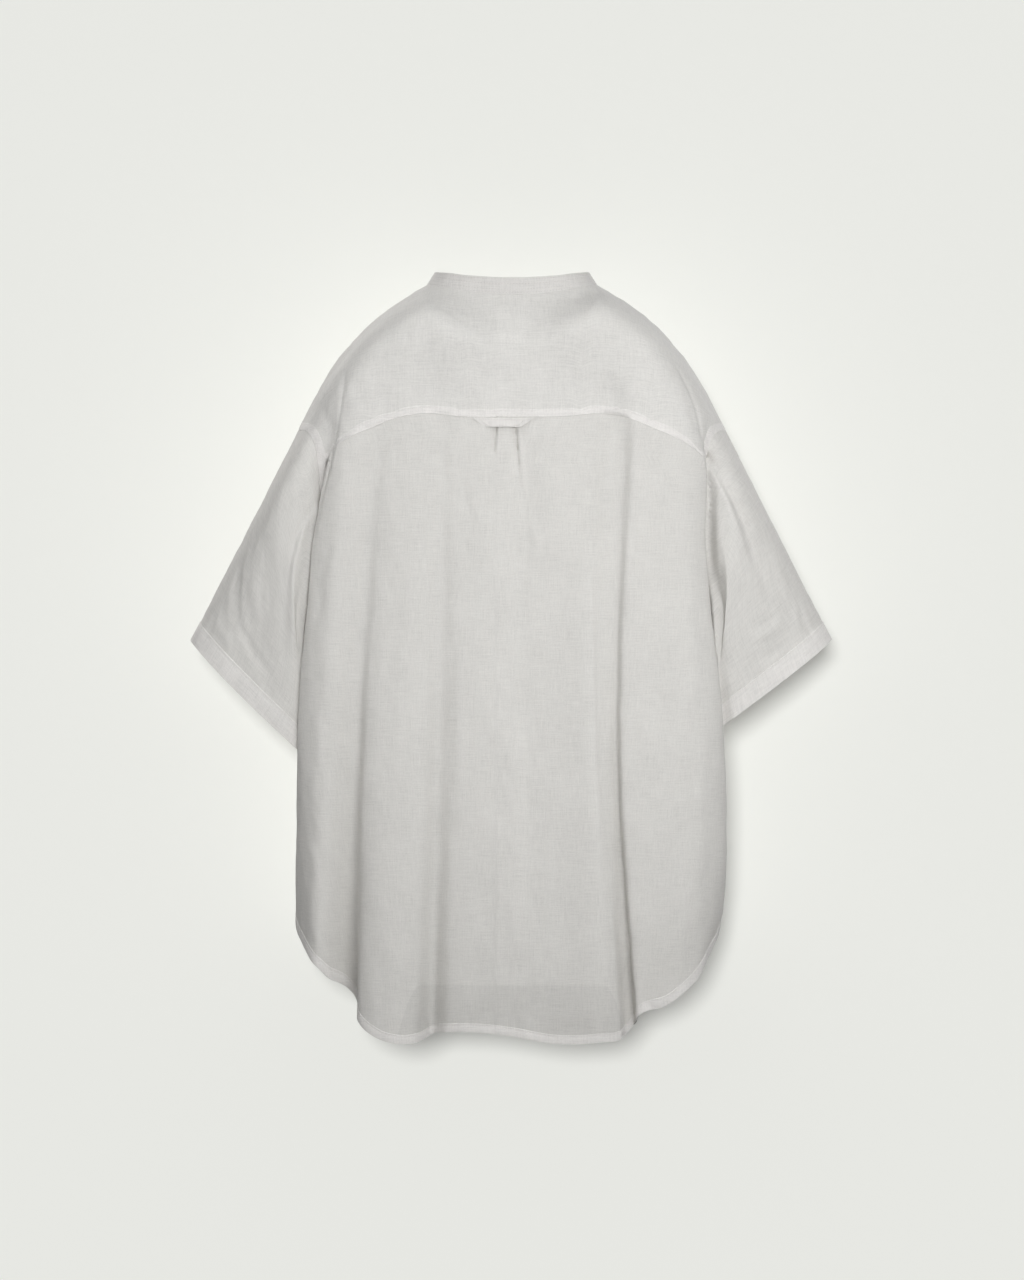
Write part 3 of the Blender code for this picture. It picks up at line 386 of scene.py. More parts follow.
def smooth_at(values, at, x):
    """The smooth curve through (at, values), read at x; at may rise or fall."""
    order = np.argsort(at)
    a, v = np.asarray(at)[order], np.asarray(values)[order]
    slope = np.gradient(v, a)
    x = np.clip(x, a[0], a[-1])
    i = np.clip(np.searchsorted(a, x) - 1, 0, len(a) - 2)
    h = a[i + 1] - a[i]
    return hermite(v[i], slope[i] * h, v[i + 1], slope[i + 1] * h, (x - a[i]) / h)


def lengths(points):
    """How far along a line of points each one lies."""
    return np.concatenate([[0], np.cumsum(np.linalg.norm(np.diff(points, axis=0), axis=1))])


def along(points, at):
    """The points of a line at the distances in at."""
    s = lengths(points)
    return np.stack([np.interp(at, s, points[:, k]) for k in range(points.shape[1])], axis=-1)


def run_down(grid):
    """How far down its column each point of a grid lies from the first row."""
    return np.cumsum(np.linalg.norm(np.diff(grid, axis=0, prepend=grid[:1]), axis=2), axis=0)


def at_height(z, heights, values):
    """Each column of values, read where the falling heights pass z."""
    return np.array([np.interp(-z, -heights, column) for column in values.T])


def ease(t):
    """0 to 1, starting and ending level."""
    t = np.clip(t, 0, 1)
    return t * t * (3 - 2 * t)


# ---------------------------------------------------------------- body sections


def plain_form(x, side_x, side_y, middle_y):
    """A point of the plain, unfolded form of one half of a section at x, and its outward direction."""
    depth = middle_y - side_y
    share = min(abs(x) / side_x, WIDEST_SHARE)
    rest = (1 - share**SQUARENESS) ** (1 / SQUARENESS)
    slope = abs(depth) / side_x * share ** (SQUARENESS - 1) * rest ** (1 - SQUARENESS)
    normal = unit((math.copysign(slope, x), math.copysign(1, depth)))
    return np.array((x, side_y + depth * rest)), normal


def fold_at(folds, row, kind, z):
    """The place ("x") or height ("out") of one fold at height z."""
    return smooth_at([folds[f"{kind}_{level}"][row] for level in ("top", "mid", "hem")], FOLD_LEVELS, z)


def pleat_depth(row, z, pleats):
    """How deep the pleat lines press one fold's row in at height z."""
    started = ease((PLEAT_TOP_Z - z) / PLEAT_START)
    lines = [(deep, low) for at, deep, low in pleats if at == row]
    return started * sum(deep * ease((z - low) / (PLEAT_TOP_Z - low)) for deep, low in lines)


def side_knots(z, level, armhole, side):
    """The knots from a side's seam inwards: the seam, the tuck, and the roll where the cloth rounds to it."""
    line = SIDE_SEAM if z <= UNDERARM_Z else armhole
    mirror = np.array((1 if side == "left" else -1, 1))
    seam = np.array([smooth_at(line[axis], line["z"], z) for axis in "xy"])
    roll = np.array((level[side + "_x"], level[side + "_y"]))
    tuck_x = roll[0] - smooth_at(SIDE_TUCK["in"], SIDE_TUCK["z"], z)
    tuck = np.array((tuck_x, roll[1] + TUCK_SHARE * (seam[1] - roll[1])))
    return [seam * mirror, tuck * mirror, roll * mirror]


class Body:
    """The upright cloth of one body piece: its sections at close heights.

    first and last name the sides whose seam is its first and last column. Seen from outside, the back runs
    from the wearer's left to the right, and a front from the right to the left.
    """

    def __init__(self, form, folds, armhole, first=None, last=None, pleats=()):
        self.form, self.folds, self.armhole, self.pleats = form, folds, armhole, pleats
        self.first, self.last = first, last
        tucks = [TUCK_STEPS, TUCK_STEPS]
        steps = [int(s) * ACROSS for s in folds["steps"]]
        steps = (tucks + [SIDE_STEPS]) * bool(first) + steps + tucks * bool(last)
        steps = steps if last else steps[:-1]
        self.knot_column = np.concatenate([[0], np.cumsum(steps)])[SIDE_KNOTS if first else 0 :]
        self.heights = np.arange(LATTICE_TOP, LATTICE_LOW - 1, -LATTICE_STEP)
        self.rows = np.array([spline(self.section(z), steps) for z in self.heights])
        self.count = self.rows.shape[1]

    def section(self, z):
        """The knots of its section at height z, from its first to its last column."""
        level = {name: smooth_at(self.form[name], self.form["z"], z) for name in self.form if name != "z"}
        knots = side_knots(z, level, self.armhole, self.first) if self.first else []
        for row in range(len(self.folds["steps"])):
            x = fold_at(self.folds, row, "x", z)
            side = "left" if x > 0 else "right"
            point, normal = plain_form(x, level[side + "_x"], level[side + "_y"], level["middle_y"])
            out = fold_at(self.folds, row, "out", z) - pleat_depth(row, z, self.pleats)
            knots.append(point + normal * out)
        knots += side_knots(z, level, self.armhole, self.last)[::-1] if self.last else []
        return np.array(knots)

    def at(self, z):
        """The points at the heights z, one for each column."""
        z = np.broadcast_to(z, (self.count,)).astype(float)
        flat = [at_height(z[i], self.heights, self.rows[:, i]) for i in range(self.count)]
        return np.column_stack([flat, z])

    def down(self, z):
        """The downward direction of the cloth at the heights z."""
        return unit(self.at(np.asarray(z) - LATTICE_STEP) - self.at(z))


def from_middle(points):
    """How far each column lies from the body's middle along the cloth, negative before it."""
    s = lengths(points[:, :2])
    nearest = np.argmin(np.abs(points[:, 0]))
    return s - s[nearest] + points[nearest, 0] * np.sign(points[-1, 0] - points[0, 0])


def share_from_middle(points):
    """How far each column lies from the middle as a share of the way to the side."""
    d = from_middle(points)
    half = 0.5 * max(-d[0], d[-1])
    return np.where(d < 0, -d / max(-d[0], half), d / max(d[-1], half))


def hem_height(body, middle_z, level_share):
    """The hem's height at each column: level in the middle, then curving up to the side seam."""
    z = np.full(body.count, middle_z)
    for _ in range(HEM_ROUNDS):
        rise = (share_from_middle(body.at(z)) - level_share) / (1 - level_share)
        z = middle_z + (SIDE_HEM_Z - middle_z) * (1 - np.cos(math.pi * np.clip(rise, 0, 1))) / 2
    return z


def hung_over(grid):
    """A grid with the shoulder folds in it: beyond each fold's line the cloth drops towards the front."""
    x, y, z = np.moveaxis(grid, -1, 0)
    fold = {name: np.interp(-z, -SHOULDER_FOLD["z"], values) for name, values in SHOULDER_FOLD.items()}
    past_line = np.abs(x) - np.where(x > 0, fold["left"], fold["right"])
    deep = np.where(x > 0, fold["left_deep"], fold["right_deep"])
    start, full = SHOULDER_FOLD_DEPTH
    reach, share = SHOULDER_CREASE
    crease = share * np.exp(-(((past_line - SHOULDER_FOLD_OVER / 2) / reach) ** 2))
    moved = grid.copy()
    drop = deep * (ease(past_line / SHOULDER_FOLD_OVER) + crease)
    moved[..., 1] -= drop * ease((y - start) / (full - start))
    return moved


def rested(sleeve, side, form):
    """A sleeve with its back laid against the edge of the body's back."""
    x, y, z = np.moveaxis(sleeve, -1, 0)
    edge = smooth_at(form[side + "_x"], form["z"], z)
    level = smooth_at(form[side + "_y"], form["z"], z) - smooth_at(SLEEVE_REST[side], SLEEVE_REST["z"], z)
    beyond = np.abs(x) - edge
    near = ease((beyond + REST_INSIDE) / (REST_INSIDE + REST_FULL))
    near *= 1 - ease((beyond - REST_FADE) / REST_FADE_OVER)
    beside = near * (1 - ease((beyond - REST_FULL) / REST_TIGHT_OVER))
    free = ease((REST_TOP_Z - z) / REST_DOWN) * ease((y - REST_FRONT_Y) / REST_BACK)
    free *= ease(run_down(sleeve) / REST_FROM_SEAM)
    rise = (level - y + np.hypot(level - y, SLEEVE_REST_SOFT)) / 2
    moved = sleeve.copy()
    moved[..., 1] += free * (near * rise + beside * (level - y - rise))
    return moved


def hang(body, top_z, hem_z, upper_rows, edge_top_z, bunch=1.0):
    """The grid of a body piece between two lines, with a row at the underarm and the same rows below it."""
    underarm = (edge_top_z - UNDERARM_Z) / (edge_top_z - SIDE_HEM_Z)
    upper = underarm * np.linspace(0, 1, upper_rows + 1) ** bunch
    lower = underarm + (1 - underarm) * np.linspace(0, 1, LOWER_ROWS + 1)
    return np.array([body.at(top_z + (hem_z - top_z) * v) for v in [*upper, *lower[1:]]])


# ---------------------------------------------------------------- outer faces of the pieces


def half_line(rows, mirrored=False):
    """A dense smooth line through a table's x, y and z, which can meet its mirror image smoothly."""
    knots = np.stack([rows["x"], rows["y"], rows["z"]], axis=1)
    flip = np.array((-1, 1, 1))
    beyond = (knots[1] * flip, knots[-2] * flip) if mirrored else ()
    return spline(knots, [LINE_STEPS] * (len(knots) - 1), *beyond)


class Neck:
    """The neck seam, read by the distance from the back's middle: positive on the wearer's left."""

    def __init__(self):
        self.line = half_line(NECK, mirrored=True)
        s = lengths(self.line)
        self.half = s[-1]
        self.corner = s[NECK_CORNER * LINE_STEPS]
        self.front_seam = self.corner + NECK_TO_FRONT_SEAM

    def at(self, distance):
        distance = np.atleast_1d(np.asarray(distance, float))
        wrapped = np.abs(distance)
        past = wrapped > self.half
        points = along(self.line, np.where(past, 2 * self.half - wrapped, wrapped))
        points[:, 0] *= np.sign(distance) * np.where(past, -1, 1)
        return points


def yoke_grid(back, unfolded, seam_z, neck):
    """The yoke from its front seam over the shoulders to the back seam, and its columns at the neck's ends.

    unfolded is the back without its folds, which die out on the yoke.
    """
    seam, plain = back.at(seam_z), unfolded.at(seam_z)
    ridge = half_line(RIDGE)
    ridge_length = lengths(ridge)[-1]
    corners = back.knot_column[LEFT_NECK_FOLD], back.knot_column[RIGHT_NECK_FOLD]
    d = from_middle(seam)
    down = unfolded.down(seam_z)
    grid = np.zeros((YOKE_FRONT_ROWS + YOKE_BACK_ROWS + 1, back.count, 3))
    for i in range(back.count):
        corner, end, sign = (corners[0], 0, 1) if d[i] < 0 else (corners[1], back.count - 1, -1)
        side = np.array((sign, 1, 1))
        if corners[0] <= i <= corners[1]:
            share = d[i] / d[corner]
            top = neck.at(sign * neck.corner * share)[0]
            leave = (1 - share**2) * BACK_NECK_FALL + share**2 * RIDGE_FALL
            front = neck.at(sign * np.linspace(neck.front_seam, neck.corner, YOKE_FRONT_ROWS + 1))
        else:
            share = (d[i] - d[corner]) / (d[end] - d[corner])
            top = along(ridge, [share * ridge_length])[0] * side
            leave = RIDGE_FALL
            drop = (1 - share) * np.array(YOKE_DROP_NECK) + share * np.array(YOKE_DROP_ARM)
            front = arch(top + drop * side, -FRONT_FALL * side, top, leave, YOKE_FRONT_ROWS)
        grid[: YOKE_FRONT_ROWS + 1, i] = front
        smooth = arch(top, leave, plain[i], down[i], YOKE_BACK_ROWS, YOKE_PULL)
        s = lengths(smooth)
        folded = ease(1 - (s[-1] - s) / FOLD_REACH)[:, None]
        grid[YOKE_FRONT_ROWS:, i] = smooth + (seam[i] - plain[i]) * folded
    return grid, corners


def front_grid(body, corner, yoke_edge, neck, sign, underlap):
    """A front: its upper part arched from the neck and yoke seam, and the upright cloth below it."""
    chest = body.at(CHEST_Z)
    d = np.abs(from_middle(chest)) * np.where(chest[:, 0] * sign >= 0, 1, -1)
    reach = neck.half - neck.front_seam
    straight = [-FRONT_STRAIGHT, FRONT_STRAIGHT]
    along_neck = np.interp(d, [*straight, d[corner]], [*straight, reach])
    on_neck = np.arange(body.count) < corner if sign > 0 else np.arange(body.count) > corner
    top = neck.at(sign * (neck.half - along_neck))
    top[:, 1] += underlap * (1 - ease((d - UNDERLAP_FROM) / UNDERLAP_OVER))
    top[~on_neck] = yoke_edge
    share = np.clip(d / d[corner], 0, 1)[:, None]
    leave = (1 - share) * NECK_FALL + share * FRONT_FALL * (sign, 1, 1)
    down = body.down(CHEST_Z)
    arches = [arch(top[j], leave[j], chest[j], down[j], FRONT_ARCH_ROWS) for j in range(body.count)]
    lower = hang(body, CHEST_Z, hem_height(body, FRONT_HEM_Z, FRONT_HEM_LEVEL), FRONT_UPPER_ROWS, CHEST_Z)
    return np.vstack([np.stack(arches, axis=1), lower[1:]])


def sleeve_grid(ring, side, tip, inner, deep, apex, bow):
    """A sleeve from the ring of armhole points, which starts and ends at the underarm, to its hem."""
    s = lengths(ring)
    top = np.argmax(ring[:, 2])
    before_top = s < s[top]
    angle = math.pi * np.where(before_top, 1 - s / s[top], (s - s[top]) / (s[-1] - s[top]))
    behind = np.where(before_top, -side, side)
    flip = np.array((side, 1, 1))
    tip, inner = np.array(tip), np.array(inner)
    grid = np.zeros((SLEEVE_ROWS + 1, len(ring), 3))
    for k, (a, turn) in enumerate(zip(angle, behind)):
        square, deepest = (SLEEVE_SQUARENESS, apex) if turn > 0 else (1, 0.5)
        across = turn * math.sin(a) ** (square if a < math.pi / 2 else 1)
        inward = deepest * (1 - math.cos(a)) if a < math.pi / 2 else deepest - (1 - deepest) * math.cos(a)
        reach_y = np.array((0, across * deep[int(turn > 0)], 0))
        hem = tip + (inner - tip) * inward + reach_y + SLEEVE_BOW * bow * math.sin(a)
        low = (1 - math.cos(a)) / 2
        leave = (1 - low) * SLEEVE_TOP_FALL + low * SLEEVE_UNDER_FALL
        leave = leave + np.array((0, across * SLEEVE_SPREAD[int(turn > 0)], 0))
        arrive = (1 - low) * SLEEVE_TOP_FALL + low * SLEEVE_HEM_FALL
        grid[:, k] = arch(ring[k], leave * flip, hem * flip, arrive * flip, SLEEVE_ROWS)
    return grid


def collar_grid(seam, neck_distance, neck):
    """The band, standing up from the neck seam, with rounded front corners."""
    share = np.abs(neck_distance) / neck.half
    rise = np.stack([smooth_at(COLLAR_RISE[k], COLLAR_RISE["share"], share) for k in "xyz"], axis=-1)
    rise[:, 0] *= np.sign(neck_distance)
    s = lengths(seam)
    to_end = np.clip(np.minimum(s, s[-1] - s) / COLLAR_END, 0, 1)
    rise *= (COLLAR_END_RISE + (1 - COLLAR_END_RISE) * np.sqrt(1 - (1 - to_end) ** 2))[:, None]
    return np.array([seam + rise * v for v in np.linspace(1, 0, COLLAR_ROWS + 1)])


# ---------------------------------------------------------------- walls


def cells(grid, skip=lambda row, column: False):
    """The quads of a grid, as indices into its flattened points, facing out."""
    rows, columns = grid.shape[:2]
    quads = []
    for i in range(rows - 1):
        for j in range(columns - 1):
            if not skip(i, j):
                a = i * columns + j
                quads.append((a, a + columns, a + columns + 1, a + 1))
    return quads


def seam_offsets(grids, quads):
    """Each piece's outward offset of each point for a wall 1 mm thick, shared by the pieces at a seam."""
    points = np.vstack([g.reshape(-1, 3) for g in grids.values()])
    starts = dict(zip(grids, np.cumsum([0] + [g[..., 0].size for g in grids.values()])))
    faces = np.vstack([np.array(quads[name]) + starts[name] for name in grids])
    _, weld = np.unique(np.round(points, WELD_DIGITS), axis=0, return_inverse=True)
    weld = weld.reshape(-1)
    p = points[faces]
    total = np.zeros((weld.max() + 1, 3))
    weight = np.zeros(weld.max() + 1)
    for k in range(4):
        to_next, to_last = p[:, (k + 1) % 4] - p[:, k], p[:, k - 1] - p[:, k]
        normal = unit(np.cross(to_next, to_last))
        wide = np.arccos(np.clip((unit(to_next) * unit(to_last)).sum(1), -1, 1))
        np.add.at(total, weld[faces[:, k]], normal * wide[:, None])
        np.add.at(weight, weld[faces[:, k]], wide)
    mean = total / np.maximum(weight, 1e-9)[:, None]
    spread = np.clip(np.linalg.norm(mean, axis=1, keepdims=True), SHARPEST_MITRE, 1)
    offset = (unit(mean) / spread)[weld]
    parts = {name: offset[starts[name] : starts[name] + g[..., 0].size] for name, g in grids.items()}
    return {name: part.reshape(grids[name].shape) for name, part in parts.items()}


def rim(quads):
    """The edges that only one quad has, each with its quad."""
    edges = {(a, b): q for q in quads for a, b in zip(q, q[1:] + q[:1])}
    return {edge: q for edge, q in edges.items() if edge[::-1] not in edges}


def drawn_in(grid, quads, by):
    """The grid with its rim drawn in along the cloth, which leaves the gap at the seams."""
    points = grid.reshape(-1, 3)
    inward = {}
    for (a, b), q in rim(quads).items():
        normal = np.cross(points[q[2]] - points[q[0]], points[q[3]] - points[q[1]])
        step = unit(np.cross(normal, points[b] - points[a]))
        inward.setdefault(a, []).append(step)
        inward.setdefault(b, []).append(step)
    moved = points.copy()
    for vertex, steps in inward.items():
        moved[vertex] += by * sum(steps) / (1 + max(np.dot(steps[0], steps[-1]), 0))
    return moved.reshape(grid.shape)


def surface_y(grid, x, z):
    """How far back a back-facing grid stands at x and z, for arrays of x and z."""
    flat = []
    for xi, zi in zip(np.ravel(x), np.ravel(z)):
        level = np.array([at_height(zi, column[:, 2], column[:, :2]) for column in np.swapaxes(grid, 0, 1)])
        level = level[np.argsort(level[:, 0])]
        flat.append(np.interp(xi, level[:, 0], level[:, 1]))
    return np.reshape(flat, np.shape(x))


def outer_faces():
    """The grids of the main pieces' outer faces, their quads, and the yoke's columns at the neck's ends."""
    neck = Neck()
    flat_folds = {name: values * (not name.startswith("out")) for name, values in BACK_FOLDS.items()}
    back = Body(BACK_FORM, BACK_FOLDS, BACK_ARMHOLE, *SIDES, pleats=PLEAT_LINES)
    unfolded = Body(BACK_FORM, flat_folds, BACK_ARMHOLE, *SIDES)
    right = Body(FRONT_FORM, RIGHT_FRONT_FOLDS, FRONT_ARMHOLE, first="right")
    left = Body(FRONT_FORM, LEFT_FRONT_FOLDS, FRONT_ARMHOLE, last="left")

    seam_share = share_from_middle(back.at(FOLD_LEVELS[0]))
    seam_z = smooth_at(YOKE_SEAM["z"], YOKE_SEAM["share"], seam_share)
    back_hem_z = hem_height(back, BACK_HEM_Z, BACK_HEM_LEVEL)
    back_hem_z -= smooth_at(HEM_WAVE["drop"], HEM_WAVE["x"], back.at(back_hem_z)[:, 0])
    yoke, (corner_left, corner_right) = yoke_grid(back, unfolded, seam_z, neck)
    yoke = hung_over(yoke)
    hung = hang(back, seam_z, back_hem_z, BACK_UPPER_ROWS, seam_z[0], UPPER_BUNCH)
    grids = {"back": hung_over(hung), "yoke": yoke}
    right_corner = right.knot_column[FRONT_CORNER_FOLD["right"]]
    left_corner = left.knot_column[FRONT_CORNER_FOLD["left"]]
    grids["front_right"] = front_grid(right, right_corner, yoke[0, corner_right:][::-1], neck, -1, UNDERLAP)
    grids["front_left"] = front_grid(left, left_corner, yoke[0, : corner_left + 1][::-1], neck, 1, 0)

    underarm_back = BACK_UPPER_ROWS
    underarm_front = FRONT_ARCH_ROWS + FRONT_UPPER_ROWS
    up_front, up_back = slice(underarm_front, 0, -1), slice(underarm_back, 0, -1)
    rings = {
        "left": [grids["front_left"][up_front, -1], yoke[:, 0], grids["back"][up_back, 0][::-1]],
        "right": [grids["back"][up_back, -1], yoke[::-1, -1], grids["front_right"][up_front, 0][::-1]],
    }
    for side, ring in rings.items():
        grids["sleeve_" + side] = rested(sleeve_grid(np.vstack(ring), **SLEEVES[side]), side, BACK_FORM)

    ridge = YOKE_FRONT_ROWS
    seam = np.vstack(
        [
            grids["front_left"][0, :left_corner],
            yoke[:ridge, corner_left],
            yoke[ridge, corner_left : corner_right + 1],
            yoke[:ridge, corner_right][::-1],
            grids["front_right"][0, right_corner + 1 :],
        ]
    )
    past_middle = lengths(seam)
    back_middle = past_middle[np.argmin(np.where(seam[:, 1] < 0, np.inf, np.abs(seam[:, 0])))]
    grids["collar_band"] = collar_grid(seam, back_middle - past_middle, neck)

    quads = {name: cells(grid) for name, grid in grids.items()}
    quads["yoke"] = cells(yoke, lambda i, j: i < ridge and corner_left <= j < corner_right)
    return grids, quads, (corner_left, corner_right)


# ---------------------------------------------------------------- creases and rumples

# Creases on each side of the shirt: three points along the crease, its reach to the wearer's left and right,
# and its height (a trough's is negative)
CREASE_COLUMNS = "x0 z0 x1 z1 x2 z2 left right height"
BACK_CREASES = table(
    CREASE_COLUMNS,
    # across the yoke seam: the wide tops of the deep groove and the left valley
    (-101, -84, -101, -124, -104, -184, 9, 22, -2.0),
    (132, -70, 134, -130, 140, -200, 18, 16, -1.2),
    # the two lines of the pleat, each with its raised edge
    (16.6, -127, 17.2, -146, 20, -174, 2.0, 2.4, -2.4),
    (13.4, -127, 14.0, -146, 16.6, -178, 3.0, 3.0, 1.0),
    (-2.2, -127, -4.6, -158, -9.6, -212, 2.0, 2.4, -2.8),
    (-6.2, -127, -8.6, -158, -13.6, -212, 4.0, 3.0, 1.3),
    # yoke and back, the lines over which they hang at the shoulders
    (168.0, -46, 175.4, -98, 181.6, -150, 2.0, 3.0, -2.2),
    (180.6, -136, 187.6, -174, 198.8, -218, 2.0, 3.0, -2.2),
    (-165.0, -68, -187.5, -108, -197.0, -162, 3.0, 2.6, -2.8),
    (-195.0, -142, -203.0, -186, -201.5, -262, 3.0, 2.6, -2.4),
    # beside and below the pleat
    (47, -196, 41, -220, 32, -238, 5, 7, 1.5),
    (52, -190, 47, -214, 38, -234, 6, 5, -1.2),
    (-20, -232, -24, -262, -19, -292, 6, 9, 1.3),
    (5, -240, 2, -275, 6, -310, 9, 9, 0.9),
    # left flank and the armhole's edge
    (188, -262, 196, -290, 203, -312, 5, 6, -1.6),
    (196, -306, 200, -328, 206, -346, 4, 6, -1.5),
    (172, -352, 180, -396, 176, -440, 8, 8, 1.2),
    (196, -420, 192, -470, 200, -520, 7, 10, -1.4),
    (182, -500, 188, -548, 180, -600, 9, 7, 1.6),
    (204, -560, 196, -602, 204, -640, 6, 8, -1.3),
    # between the valleys
    (121, -300, 127, -420, 132, -520, 12, 12, -1.0),
    (100, -430, 104, -540, 108, -640, 10, 12, 1.3),
    (51, -330, 54, -450, 52, -560, 8, 10, 1.3),
    (30, -560, 28, -640, 36, -730, 14, 16, -1.6),
    (60, -766, 50, -744, 42, -716, 4, 5, 1.8),
    (2, -420, -6, -540, -4, -680, 18, 20, 1.2),
    (-60, -300, -66, -440, -62, -590, 16, 14, -0.9),
    (-38, -620, -46, -690, -44, -760, 16, 16, 1.8),
    (108, -640, 104, -700, 112, -770, 10, 12, -2.0),
    # right flank
    (-138, -500, -150, -524, -160, -532, 5, 6, 1.1),
    (-158, -560, -166, -580, -162, -606, 6, 6, -1.3),
    (-136, -728, -146, -738, -160, -738, 5, 6, -1.6),
    (-150, -240, -158, -330, -154, -420, 14, 12, -0.9),
    (-190, -420, -186, -500, -192, -580, 8, 10, -1.4),
    (-172, -600, -178, -650, -170, -700, 8, 8, 1.5),
    # back of the sleeves
    (276, -246, 284, -300, 283, -338, 10, 5, -1.8),
    (283, -336, 272, -364, 250, -394, 7, 6, -1.6),
    (262, -262, 266, -310, 262, -352, 10, 9, 1.4),
    (312, -340, 300, -352, 290, -372, 7, 7, 1.2),
    (-282, -334, -266, -350, -244, -362, 8, 9, 1.7),
    (-290, -352, -270, -372, -246, -384, 8, 8, -1.2),
    (-232, -230, -244, -280, -240, -330, 10, 12, -1.1),
    (-300, -330, -306, -346, -316, -356, 6, 6, -1.0),
)
FRONT_CREASES = table(
    CREASE_COLUMNS,
    # from the chest down
    (100, -240, 104, -330, 98, -440, 13, 13, -1.1),
    (52, -420, 56, -540, 54, -660, 13, 14, 1.3),
    (130, -480, 124, -580, 130, -680, 12, 12, 1.4),
    (176, -380, 184, -450, 178, -530, 9, 10, -1.5),
    (190, -540, 186, -600, 192, -660, 8, 9, 1.4),
    (-60, -260, -64, -380, -58, -500, 14, 13, -1.0),
    (-104, -420, -110, -540, -106, -660, 13, 13, 1.3),
    (-150, -300, -156, -400, -150, -480, 11, 12, 1.1),
    (-184, -480, -180, -560, -186, -640, 9, 9, -1.5),
    (-40, -600, -46, -660, -40, -712, 12, 12, -1.4),
    # front of the sleeves
    (262, -250, 272, -310, 268, -360, 10, 9, -1.5),
    (290, -320, 282, -356, 262, -386, 9, 8, 1.5),
    (-258, -260, -268, -320, -262, -370, 10, 9, 1.5),
    (-292, -330, -282, -360, -266, -384, 9, 8, -1.3),
)
CREASE_POINTS = 24
CREASE_ENDS = (0.02, 0.98)  # the shares of its length between which its fading towards the ends is read,
CREASE_FADE = 0.8  # and how gently it fades there: less is more evenly high
SIDE_Y = -6.0  # the cloth further back than this belongs to the back,
SIDE_BLEND = 24.0  # and the two sides' creases mix over this depth

# Rumples: how high they stand, over how much of the width and the height of the cloth, and the pattern's seed
RUMPLES = table(
    "height across tall seed",
    (0.52, 22, 70, 3), (0.48, 9, 24, 7), (0.26, 5, 9, 11),
)
NOISE_CELLS = 64  # the pattern repeats after so many
COLLAR_CALM = 0.3  # the share of creases and rumples that the stiff collar takes


def smooth_noise(points, sizes, seed):
    """Values from -1 to 1 that change smoothly over the given sizes."""
    values = np.random.default_rng(int(seed)).uniform(-1, 1, (NOISE_CELLS,) * 3)
    at = points / sizes
    low = np.floor(at).astype(int)
    part = ease(at - low)
    total = 0
    for corner in np.ndindex(2, 2, 2):
        cell = (low + corner) % NOISE_CELLS
        share = np.prod(np.where(corner, part, 1 - part), axis=-1)
        total = total + share * values[cell[..., 0], cell[..., 1], cell[..., 2]]
    return total


def crease_height(points, crease):
    """How far one crease lifts each point, from where it lies across and up the shirt."""
    x0, z0, x1, z1, x2, z2, left, right, height = crease
    t = np.linspace(0, 1, CREASE_POINTS)[:, None]
    line = (1 - t) * (1 - 2 * t) * (x0, z0) + 4 * t * (1 - t) * (x1, z1) + t * (2 * t - 1) * (x2, z2)
    flat = points[:, [0, 2]]
    reach = max(left, right)
    lift = np.zeros(len(points))
    near = ((flat > line.min(0) - reach) & (flat < line.max(0) + reach)).all(1)
    away = flat[near, None] - line
    nearest = np.argmin((away**2).sum(2), axis=1)
    away = away[np.arange(len(nearest)), nearest]
    way = unit(np.gradient(line, axis=0))[nearest]
    across = way[:, 0] * away[:, 1] - way[:, 1] * away[:, 0]
    across *= np.sign(z0 - z2)
    share = np.abs(across) / np.where(across > 0, left, right)
    end = np.abs((away * way).sum(1)) / reach
    fade = np.sin(math.pi * np.clip(nearest / (CREASE_POINTS - 1), *CREASE_ENDS)) ** CREASE_FADE
    lift[near] = height * fade * np.clip(1 - share**2, 0, 1) ** 2 * np.clip(1 - end, 0, 1)
    return lift


def relief(points):
    """How far creases and rumples lift the cloth at each point."""
    behind = ease((points[:, 1] - SIDE_Y) / SIDE_BLEND + 0.5)
    lift = np.zeros(len(points))
    for creases, share in ((BACK_CREASES, behind), (FRONT_CREASES, 1 - behind)):
        for crease in zip(*creases.values()):
            lift += crease_height(points, crease) * share
    for height, across, tall, seed in zip(*RUMPLES.values()):
        lift += height * smooth_noise(points, np.array((across, across, tall)), seed)
    return lift


# ---------------------------------------------------------------- meshes


def shell(name, outer, inner, quads, material, lay=None, extra=None):
    """A closed thin wall between two grids of the same shape, with its lie on the cloth as an attribute."""
    quads = np.array(quads)
    used = np.unique(quads)
    new = np.full(outer.shape[0] * outer.shape[1], -1)
    new[used] = np.arange(len(used))
    faces = new[quads]
    count = len(used)
    edges = rim([tuple(q) for q in faces.tolist()])
    rim_faces = [(b, a, a + count, b + count) for a, b in edges]
    points = np.vstack([outer.reshape(-1, 3)[used], inner.reshape(-1, 3)[used]]) * MM
    mesh = bpy.data.meshes.new(name)
    mesh.from_pydata(points.tolist(), [], faces.tolist() + (faces[:, ::-1] + count).tolist() + rim_faces)
    lay = outer if lay is None else lay
    put_attribute(mesh, "lay", np.tile(lay.reshape(-1, 3)[used] * MM, (2, 1)))
    for key, values in (extra or {}).items():
        put_attribute(mesh, key, np.tile(values.reshape(-1)[used] * MM, 2))
    return piece(name, mesh, material)


def put_attribute(mesh, name, values):
    kind = "FLOAT_VECTOR" if values.ndim == 2 else "FLOAT"
    attribute = mesh.attributes.new(name, kind, "POINT")
    attribute.data.foreach_set("vector" if values.ndim == 2 else "value", np.ravel(values).astype(np.float32))


